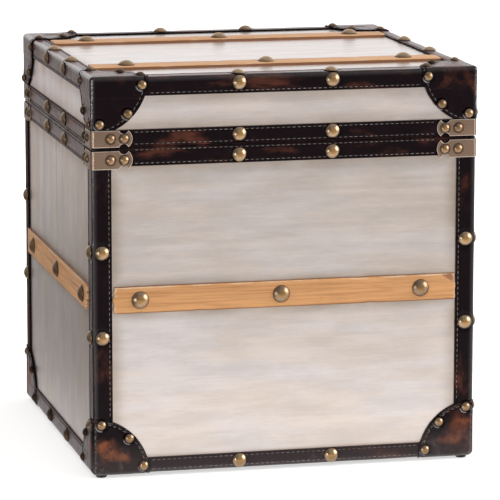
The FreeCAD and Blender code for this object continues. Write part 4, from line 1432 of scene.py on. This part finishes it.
class TRUNK_OT_stitching(Operator):
    """Sew the rows of thread along the leather's seams"""
    bl_idname = "trunk.stitching"
    bl_label = "Stitching"

    def execute(self, context):
        settings = context.scene.trunk_leather
        put_down()
        bpy.ops.mesh.primitive_uv_sphere_add(segments=6, ring_count=4, radius=0.5, rotation=(0, math.pi / 2, 0),
                                             scale=(settings.thread_width * 0.9, settings.thread_width,
                                                    settings.stitch_length))
        master = context.object
        bpy.ops.object.transform_apply(location=True, rotation=True, scale=True)
        points = read_points(master)
        dip = step(np.abs(points[:, 0]), settings.stitch_length * 0.2, settings.stitch_length * 0.5)
        points[:, 2] -= dip * settings.thread_width * 0.45
        write_points(master, points)
        for body, lines in stitch_lines.items():
            dice = np.random.default_rng(11)
            places = [place for line in lines for place in self.row(line, settings, body, dice)]
            obj = copies(body + "_stitching", master, places)
            for polygon in obj.data.polygons:
                polygon.use_smooth = True
            wear_material(obj, finish("thread"))
            settle(obj, body, "dark_leather")
        discard(master)
        return {"FINISHED"}

    def row(self, line, settings, body, dice):
        """The stitches along one line, seated on the leather that they go through."""
        skin, points, out = line
        tree = leather_skins[skin]
        out = Vector(out)
        lengths = [(b - a).length for a, b in zip(points, points[1:])]
        total = sum(lengths)
        count = max(1, int(total / settings.stitch_pitch))
        for i in range(count):
            far = (i + 0.5) * total / count
            walked = 0.0
            for (a, b), length in zip(zip(points, points[1:]), lengths):
                if walked + length >= far:
                    break
                walked += length
            spot = a + (b - a) * ((far - walked) / length)
            if self.hidden(spot, out, body, skin):
                continue
            hit, normal, _, _ = tree.ray_cast(spot + out * 0.006, -out, 0.012)
            if hit is None:
                continue
            if normal.dot(out) < 0:
                normal = -normal
            matrix = frame_of(hit + normal * settings.thread_width * 0.18, b - a, normal, dice.normal() * 0.05)
            yield matrix, float(dice.uniform())

    def hidden(self, spot, out, body, skin):
        """Whether another piece lies over this stitch."""
        for group in nails.values():
            for nail in group:
                if nail["out"].dot(out) > 0.5 and (nail["place"] - spot).length < nail["head"] - 0.0006:
                    return True
        if "cover" in skin:
            return False
        far_x, far_y = half_width - abs(spot.x), half_depth - abs(spot.y)
        if "rim" in skin:
            return max(far_x, far_y) < clip_reach + 0.001
        corner_z = top_z if body == "lid" else base_z
        return Vector((far_x, far_y, spot.z - corner_z)).length < cover_radius + 0.0015


class TRUNK_OT_nails(Operator):
    """Drive the domed nails in their three sizes"""
    bl_idname = "trunk.nails"
    bl_label = "Domed nails"
    dullness = {"chest_binding_nails": -0.05, "chest_slat_nails": 0.62, "chest_small_nails": 0.5,
                "lid_binding_nails": 0.1, "lid_slat_nails": 0.2, "lid_small_nails": 0.85}

    def execute(self, context):
        dice = np.random.default_rng(23)
        for node, group in nails.items():
            master = self.master(group[0])
            places = []
            for nail in group:
                side = Vector((0, 0, 1)) if abs(nail["out"].z) < 0.5 else Vector((1, 0, 0))
                lean = Vector([float(v) for v in dice.normal(size=3) * 0.02])
                out = (nail["out"] + lean).normalized()
                # Nails on the left face, most of all near the floor, and nails on top are made darker: painted
                # shade over their tarnish.
                dull_and_shade = self.dullness[node] + 0.3 * (nail["out"].x < -0.5) * (1 + 4 * (nail["place"].z < 0.05))
                dull_and_shade += (0.45 if node == "lid_small_nails" else 0.22) * (nail["out"].z > 0.5)
                places.append((frame_of(nail["place"], side, out, float(dice.uniform(0, 6.28))),
                               float(dice.uniform(dull_and_shade, 0.65 + dull_and_shade))))
            body = node.split("_")[0]
            obj = copies(node.replace("_nails", "_domed_nails"), master, places)
            smooth(obj, 50)
            wear_material(obj, finish("nail"))
            settle(obj, body, "nail_brass", node)
            discard(master)
        return {"FINISHED"}

    def master(self, nail):
        """A domed head with a rolled rim, on a short round shank."""
        head, dome, shank = nail["head"], nail["dome"], nail["shank"]
        ball = (head ** 2 + dome ** 2) / (2 * dome)
        put_down()
        bpy.ops.mesh.primitive_uv_sphere_add(segments=28, ring_count=26, radius=ball, location=(0, 0, dome - ball))
        obj = bpy.context.object
        bpy.ops.object.transform_apply(location=True, rotation=True, scale=True)
        open_mesh(obj)
        bpy.ops.mesh.select_all(action="SELECT")
        bpy.ops.mesh.bisect(plane_co=(0, 0, 0), plane_no=(0, 0, 1), clear_inner=True, use_fill=True,
                            threshold=merge_distance)
        choose_edges(obj, lambda a, b: max(abs(a.z), abs(b.z)) < merge_distance)
        bpy.ops.mesh.bevel(offset=0.0004, segments=2, affect="EDGES")
        choose_faces(obj, lambda middle, normal: normal.z < -0.9)
        bpy.ops.mesh.inset(thickness=head * 0.8)
        bpy.ops.mesh.extrude_region_move(TRANSFORM_OT_translate={"value": (0, 0, -shank)})
        put_down()
        points = read_points(obj)
        reach = np.linalg.norm(points[:, :2], axis=1)
        points[:, :2] *= head / reach.max()
        write_points(obj, points)
        write_mask(obj, "rim", np.clip(reach / reach.max(), 0, 1))
        return obj


class TRUNK_OT_clips(Operator):
    """Make the bent corner clips with their polished edges, the border and the outer bend painted lighter as
    highlights
    """
    bl_idname = "trunk.clips"
    bl_label = "Corner clips"

    def execute(self, context):
        settings = context.scene.trunk_metal
        for body in ("chest", "lid"):
            node = body + "_corner_clips"
            put_down()
            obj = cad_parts[node].copy()
            obj.data = obj.data.copy()
            obj.parent = None
            for key in list(obj.keys()):
                del obj[key]
            obj.name = obj.data.name = body + "_clips"
            context.scene.collection.objects.link(obj)
            open_mesh(obj)
            bpy.ops.mesh.select_all(action="SELECT")
            bpy.ops.mesh.remove_doubles(threshold=merge_distance)
            bpy.ops.mesh.dissolve_limited(angle_limit=math.radians(1))
            wear_material(obj, finish("clip"), finish("clip edge"))
            # The outer bend takes the lighter metal as a painted highlight; so does the border inset below, which
            # is also polished.
            for proud, turn in ((True, 0.0022), (False, 0.0013)):
                choose_edges(obj, lambda a, b: self.bend(a, b, proud))
                bpy.ops.mesh.bevel(offset=turn, segments=4, affect="EDGES", material=1 if proud else 0)
            choose_faces(obj, self.outside)
            bpy.ops.mesh.inset(thickness=settings.clip_border, depth=settings.clip_border * 0.28,
                               use_select_inset=True)
            obj.active_material_index = 1
            bpy.ops.object.material_slot_assign()
            put_down()
            smooth(obj, 30)
            settle(obj, body, "clip_metal", node)
        return {"FINISHED"}

    def outside(self, middle, normal):
        """Whether a face lies on the outer skin of a clip."""
        away = middle.x * normal.x + middle.y * normal.y
        proud = max(abs(middle.x) - half_width, abs(middle.y) - half_depth)
        return abs(normal.z) < 0.1 and away > 0.15 and proud > binding_thickness * 0.4

    def bend(self, a, b, proud):
        """Whether an edge is the outer or the inner line of a clip's bend."""
        away = [abs(p[axis]) - (half_width, half_depth)[axis] for p in (a, b) for axis in (0, 1)]
        if abs((b - a).normalized().z) <= 0.999:
            return False
        return min(away) > 0.0004 if proud else abs(min(away)) < 2e-4 and max(away) < 2e-4


class TRUNK_OT_slats(Operator):
    """Shape the wooden slats with their worn edges and ragged ends"""
    bl_idname = "trunk.slats"
    bl_label = "Wooden slats"

    def execute(self, context):
        wear = context.scene.trunk_wood.wear
        for node in ("slat_front", "slat_back", "slat_left", "slat_right", "lid_slat_front", "lid_slat_back"):
            self.slat(node, wear)
        return {"FINISHED"}

    def slat(self, node, wear):
        """One slat, worn by moving its points."""
        low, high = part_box(node)
        size = high - low
        along = max(range(3), key=lambda i: size[i])
        thin = min(range(3), key=lambda i: size[i])
        wide = 3 - along - thin
        sign = 1 if (low + high)[thin] > 0 else -1
        out = Vector([sign if i == thin else 0 for i in range(3)])
        obj = block("wood_" + node, low, high)
        face = high[thin] if sign > 0 else low[thin]
        open_mesh(obj)
        choose_edges(obj, lambda a, b: max(abs(a[thin] - face), abs(b[thin] - face)) < merge_distance)
        bpy.ops.mesh.bevel(offset=0.0008, segments=2, affect="EDGES")
        put_down()
        axes = [Vector([1 if i == axis else 0 for i in range(3)]) for axis in range(3)]
        cut_rows(obj, axes[along], slat_cell)
        cut_rows(obj, axes[wide], slat_row)
        open_mesh(obj)
        for away in (0.0011, 0.0015):
            slice_at(low + axes[wide] * away, axes[wide])
        put_down()
        points, normals = read_points(obj), read_normals(obj)
        middle = (np.array(low) + np.array(high)) / 2
        half = (np.array(high) - np.array(low)) / 2
        edge = half[wide] - np.abs(points[:, wide] - middle[wide])
        end = half[along] - np.abs(points[:, along] - middle[along])
        outer = step((points[:, thin] - middle[thin]) * sign, 0, half[thin])
        near_edge = 1 - step(edge, 0.0005, 0.0035)
        rough = blotches(points, 0.012, 7) * 0.6 + blotches(points, 0.005, 9) * 0.4
        bite = np.clip(blotches(points, 0.03, 13) - 0.45, 0, 1)
        move = normals * (rough * wear * 0.5 * outer)[:, None]
        inward = np.zeros_like(points)
        inward[:, wide] = -np.sign(points[:, wide] - middle[wide])
        move += inward * (near_edge * outer * (wear * (0.6 + rough) + bite * 0.0012))[:, None]
        move -= np.outer(near_edge * outer * bite * 0.0009, np.array(out))
        bare = near_edge * outer * np.clip(0.55 + 0.6 * blotches(points, 0.04, 17) + bite, 0, 1)
        # An upright slat's lower edge gets no pale wear and a dark line: a painted shadow.
        lower = (points[:, 2] < middle[2]) * (wide == 2)
        low_edge = (1 - step(edge, 0.0011, 0.0015)) * outer * lower
        bare *= 1 - near_edge * lower
        ragged = self.ragged(node, points, along, wide, middle, half)
        near_end = 1 - np.clip(end / torn_reach, 0, 1)
        back = np.zeros_like(points)
        back[:, along] = -np.sign(points[:, along] - middle[along])
        move += back * (near_end * ragged)[:, None]
        bare = np.maximum(bare, (1 - step(end, 0.0, 0.004)) * np.clip(ragged / 0.002, 0.5, 1))
        chip = self.chip(node, points, middle, half)
        move -= np.outer(chip * outer * 0.0016, np.array(out))
        bare = np.maximum(bare, np.where(chip > 0.8, 0.12, chip))
        write_points(obj, points + move)
        below_face = (face - points[:, thin]) * sign
        # The thin sides below the face, darkened partly as stain and partly as painted shade.
        side = ((edge < 0.0003) & (below_face > 0.0006)).astype(float)
        write_mask(obj, "bare", bare * (1 - side))
        # The painted shadow line under the lower edge, and the inside of the split corner painted dark as shade.
        shade_marks = np.maximum(0.85 * low_edge, 0.8 * (chip > 0.8) * (wide == 2))
        write_mask(obj, "side", np.maximum(side, shade_marks))
        smooth(obj, 40)
        wear_material(obj, finish("slat x" if along == 0 else "slat y"))
        settle(obj, "lid" if node.startswith("lid") else "chest", "slat_wood", node)

    def ragged(self, node, points, along, wide, middle, half):
        """How far each end's fibres are torn back."""
        teeth = np.random.default_rng(31).uniform(0, 1, 64)
        row = np.clip(((points[:, wide] - middle[wide] + half[wide]) / slat_row).astype(int), 0, 63)
        torn = {"slat_left": (0.0085, 0.0015), "slat_front": (0.0024, 0.0012)}
        at_low, at_high = torn.get(node, (0.0008, 0.0008))
        return teeth[row] * np.where(points[:, along] < middle[along], at_low, at_high)

    def chip(self, node, points, middle, half):
        """The split corner of the front slat and the worn edge of the lid's slats."""
        if node == "slat_front":
            from_end = middle[0] + half[0] - points[:, 0]
            from_top = middle[2] + half[2] - points[:, 2]
            reach = np.maximum(0.0118 - from_end * 0.5, 0.0012) + 0.0008 * blotches(points, 0.008, 19)
            return (1 - step(from_top, reach - 0.002, reach + 0.0004)) * (from_end < 0.036)
        if node.startswith("lid_slat"):
            from_front = points[:, 1] - (middle[1] - half[1])
            reach = 0.0022 + 0.0022 * blotches(points, 0.07, 21)
            return 0.5 * (1 - step(from_front, reach - 0.001, reach + 0.001))
        return np.zeros(len(points))


class TRUNK_OT_lining(Operator):
    """Line the chest and the lid with woven cloth"""
    bl_idname = "trunk.lining"
    bl_label = "Cloth lining"

    def execute(self, context):
        for body, node, open_up in (("chest", "chest_lining", True), ("lid", "lid_lining", False)):
            self.line(body, node, open_up)
        return {"FINISHED"}

    def line(self, body, node, open_up):
        """Five panels of cloth folded up from one cut."""
        low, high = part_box(node)
        obj = block(body + "_cloth_lining", low, high)
        open_mesh(obj)
        choose_faces(obj, lambda middle, normal: normal.z * (1 if open_up else -1) > 0.5)
        bpy.ops.mesh.delete(type="FACE")
        bpy.ops.mesh.select_all(action="SELECT")
        bpy.ops.mesh.flip_normals()
        choose_edges(obj, lambda a, b: abs(a.z - b.z) > 0.01)
        bpy.ops.mesh.bevel(offset=0.004, segments=3, affect="EDGES")
        put_down()
        for axis in ((1, 0, 0), (0, 1, 0), (0, 0, 1)):
            cut_rows(obj, axis, cloth_cell)
        points, normals = read_points(obj), read_normals(obj)
        inset = 0.0009 + 0.00025 * blotches(points, 0.12, 41)
        write_points(obj, points + normals * inset[:, None])
        finish_with(obj, "SOLIDIFY", thickness=cloth_thickness, offset=-1)
        open_mesh(obj)
        bpy.ops.mesh.select_all(action="SELECT")
        bpy.ops.uv.cube_project(cube_size=1.0, correct_aspect=False, clip_to_bounds=False, scale_to_bounds=False)
        put_down()
        obj.data.uv_layers[0].name = "weave"
        smooth(obj, 50)
        wear_material(obj, finish("lining"))
        settle(obj, body, "lining_cloth", node)


class TRUNK_OT_frame_finishes(Operator):
    """Give the sheets, boards, hinges and glides of the frame their finishes"""
    bl_idname = "trunk.frame_finishes"
    bl_label = "Sheets, boards and hardware"

    def execute(self, context):
        kinds = {"sheet": "sheet", "sheets": "sheet", "board": "board", "rail": "board", "glides": "glide"}
        for node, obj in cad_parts.items():
            if obj.hide_render:
                continue
            kind = "hinge" if node.startswith("hinge") else kinds[node.split("_")[-1]]
            for slot in obj.material_slots:
                slot.material = finish(kind)
        return {"FINISHED"}


class TRUNK_OT_stage(Operator):
    """Set the camera, the lamps and the pale floor"""
    bl_idname = "trunk.stage"
    bl_label = "Stage"

    def execute(self, context):
        settings = context.scene.trunk_stage
        self.camera(context, settings)
        self.lamp("key lamp", (2.3, -1.1, 1.15), (0, -0.2, 0.25), (1.7, 1.6), settings.key_power,
                  (1.0, 0.98, 0.95))
        self.lamp("fill lamp", (-1.8, -1.55, 0.25), (0, -0.2, 0.2), (0.45, 0.6), settings.fill_power,
                  (1.0, 0.98, 0.97))
        above = self.lamp("top lamp", (0.6, -0.6, 2.7), (0, 0, 0.2), (2.6, 1.8), settings.top_power,
                          (1.0, 0.99, 0.97))
        above.visible_glossy = False
        self.floor(settings)
        self.sky(context, settings)
        context.scene.view_settings.view_transform = "Standard"
        return {"FINISHED"}

    def camera(self, context, settings):
        """The camera at the photographed angle."""
        yaw, pitch, roll = settings.camera_yaw, settings.camera_pitch, settings.camera_roll
        ahead = Vector((math.sin(yaw) * math.cos(pitch), math.cos(yaw) * math.cos(pitch), math.sin(pitch)))
        right = Vector((math.cos(yaw), -math.sin(yaw), 0))
        up = right.cross(ahead)
        turned_right = right * math.cos(roll) + up * math.sin(roll)
        turned_up = up * math.cos(roll) - right * math.sin(roll)
        data = bpy.data.cameras.new("camera")
        data.lens = settings.lens
        data.sensor_width = 36
        data.clip_end = 50
        camera = bpy.data.objects.new("camera", data)
        matrix = Matrix((turned_right, turned_up, -ahead)).transposed().to_4x4()
        matrix.translation = Vector(settings.camera_place)
        camera.matrix_world = matrix
        context.scene.collection.objects.link(camera)
        context.scene.camera = camera

    def lamp(self, name, place, target, size, power, colour):
        """A soft rectangular lamp that looks at a point."""
        data = bpy.data.lights.new(name, "AREA")
        data.shape = "RECTANGLE"
        data.size, data.size_y = size
        data.energy = power
        data.color = colour
        lamp = bpy.data.objects.new(name, data)
        ahead = Vector(target) - Vector(place)
        lamp.matrix_world = Matrix.Translation(place) @ ahead.to_track_quat("-Z", "Y").to_matrix().to_4x4()
        bpy.context.scene.collection.objects.link(lamp)
        return lamp

    def floor(self, settings):
        """A pale floor that shows white to the camera and keeps the trunk's shadow. For gloss it glows instead of
        being lit: a painted reflection with painted shade by the trunk.
        """
        put_down()
        bpy.ops.mesh.primitive_plane_add(size=16, location=(0, 0, 0))
        floor = bpy.context.object
        floor.name = "floor"
        open_mesh(floor)
        bpy.ops.mesh.select_all(action="SELECT")
        bpy.ops.mesh.subdivide(number_cuts=4)
        put_down()
        material, tree, shader, where = new_material("pale floor")
        speckle = noise(tree, where, 3.0, 4.0)
        colour = blend(tree, ease(tree, speckle, 0.3, 0.7), settings.floor_colour[:],
                       shade(settings.floor_colour, 0.97))
        attach(tree, shader, Base_Color=colour, Roughness=0.9)
        path = add(tree, "ShaderNodeLightPath").outputs
        place = parts(tree, where)
        away = length_of(tree, where)
        glow = ease(tree, away, 0.35, 1.5, settings.floor_glow, 1.0)
        lit = add(tree, "ShaderNodeEmission", {"Strength": product(tree, path["Is Camera Ray"], glow)})
        both = add(tree, "ShaderNodeAddShader", {0: shader.outputs[0], 1: lit.outputs[0]}).outputs[0]
        # For gloss rays the floor glows as a painted reflection: darker right in front of the trunk, brighter a
        # little ahead, fading far off, and dimmer beside the trunk at the left.
        gloss = calc(tree, "MAXIMUM", path["Is Glossy Ray"], path["Is Transmission Ray"])
        ahead = minus(tree, -half_depth, place[1])
        bright = product(tree, ease(tree, ahead, 0.0, 0.14, 0.6, 1.0), ease(tree, ahead, 0.3, 1.3, 1.0, 0.64))
        bright = product(tree, bright, ease(tree, ahead, 0.2, 0.55, 1.14, 1.0))
        beside = product(tree, ease(tree, place[0], -0.5, -0.15, 1.0, 0.0), ease(tree, ahead, 0.15, 0.6, 1.0, 0.0))
        dim = product(tree, ease(tree, place[1], 0.3, 2.4, 0.17, 0.62), ease(tree, place[0], -1.8, -0.8, 0.6, 1.0))
        reflection_glow = plus(tree, product(tree, rest(tree, beside), bright), product(tree, beside, dim))
        tint = blend(tree, beside, (1, 1, 1, 1), (1, 0.955, 0.93, 1))
        shown = add(tree, "ShaderNodeEmission", {"Color": tint, "Strength": reflection_glow}).outputs[0]
        final = add(tree, "ShaderNodeMixShader", {0: gloss, 1: both, 2: shown}).outputs[0]
        tree.links.new(final, tree.nodes["Material Output"].inputs[0])
        wear_material(floor, material)

    def sky(self, context, settings):
        """Even light all round, white where the camera and the gloss see it."""
        world = bpy.data.worlds.new("studio")
        world.use_nodes = True
        context.scene.world = world
        tree = world.node_tree
        path = add(tree, "ShaderNodeLightPath").outputs
        way = parts(tree, add(tree, "ShaderNodeTexCoord").outputs["Generated"])
        behind = ease(tree, way[1], -0.6, 0.2, settings.front_gloom, 1.0)
        left = calc(tree, "MAXIMUM", ease(tree, way[0], -0.62, -0.05, 0.26, 1.0),
                    ease(tree, way[2], 0.25, 0.75, 0.0, 0.45))
        reflected = product(tree, product(tree, behind, left), ease(tree, way[2], 0.4, 0.95, 1.0, 0.6))
        gloss = calc(tree, "MAXIMUM", path["Is Glossy Ray"], path["Is Transmission Ray"])
        diffuse = product(tree, rest(tree, gloss), settings.sky_strength)
        strength = plus(tree, product(tree, gloss, reflected), diffuse)
        strength = calc(tree, "MAXIMUM", strength, path["Is Camera Ray"])
        background = tree.nodes["Background"]
        background.inputs["Color"].default_value = (1.0, 1.0, 1.0, 1)
        tree.links.new(strength, background.inputs["Strength"])


class TRUNK_PT_panel(Panel):
    """The trunk's pieces and settings in the sidebar"""
    bl_idname = "TRUNK_PT_panel"
    bl_label = "Trunk"
    bl_space_type = "VIEW_3D"
    bl_region_type = "UI"
    bl_category = "Trunk"

    def draw(self, context):
        for operator in operators:
            self.layout.operator(operator.bl_idname)
        for name, group in settings_groups.items():
            box = self.layout.box()
            for key in group.__annotations__:
                box.prop(getattr(context.scene, name), key)


settings_groups = {
    "trunk_leather": TrunkLeatherSettings,
    "trunk_metal": TrunkMetalSettings,
    "trunk_wood": TrunkWoodSettings,
    "trunk_cloth": TrunkClothSettings,
    "trunk_stage": TrunkStageSettings,
}
operators = (TRUNK_OT_stage, TRUNK_OT_bindings, TRUNK_OT_covers, TRUNK_OT_stitching, TRUNK_OT_clips,
             TRUNK_OT_nails, TRUNK_OT_slats, TRUNK_OT_lining, TRUNK_OT_frame_finishes)


def register():
    for group in settings_groups.values():
        bpy.utils.register_class(group)
    for name, group in settings_groups.items():
        setattr(bpy.types.Scene, name, PointerProperty(type=group))
    for kind in operators + (TRUNK_PT_panel,):
        bpy.utils.register_class(kind)


def unregister():
    for kind in reversed(operators + (TRUNK_PT_panel,)):
        bpy.utils.unregister_class(kind)
    for name, group in settings_groups.items():
        delattr(bpy.types.Scene, name)
        bpy.utils.unregister_class(group)


def main():
    """Make every piece in order."""
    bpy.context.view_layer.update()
    register()
    bpy.ops.trunk.stage()
    bpy.ops.trunk.bindings()
    bpy.ops.trunk.covers()
    bpy.ops.trunk.stitching()
    bpy.ops.trunk.clips()
    bpy.ops.trunk.nails()
    bpy.ops.trunk.slats()
    bpy.ops.trunk.lining()
    bpy.ops.trunk.frame_finishes()


if __name__ == "__main__":
    main()
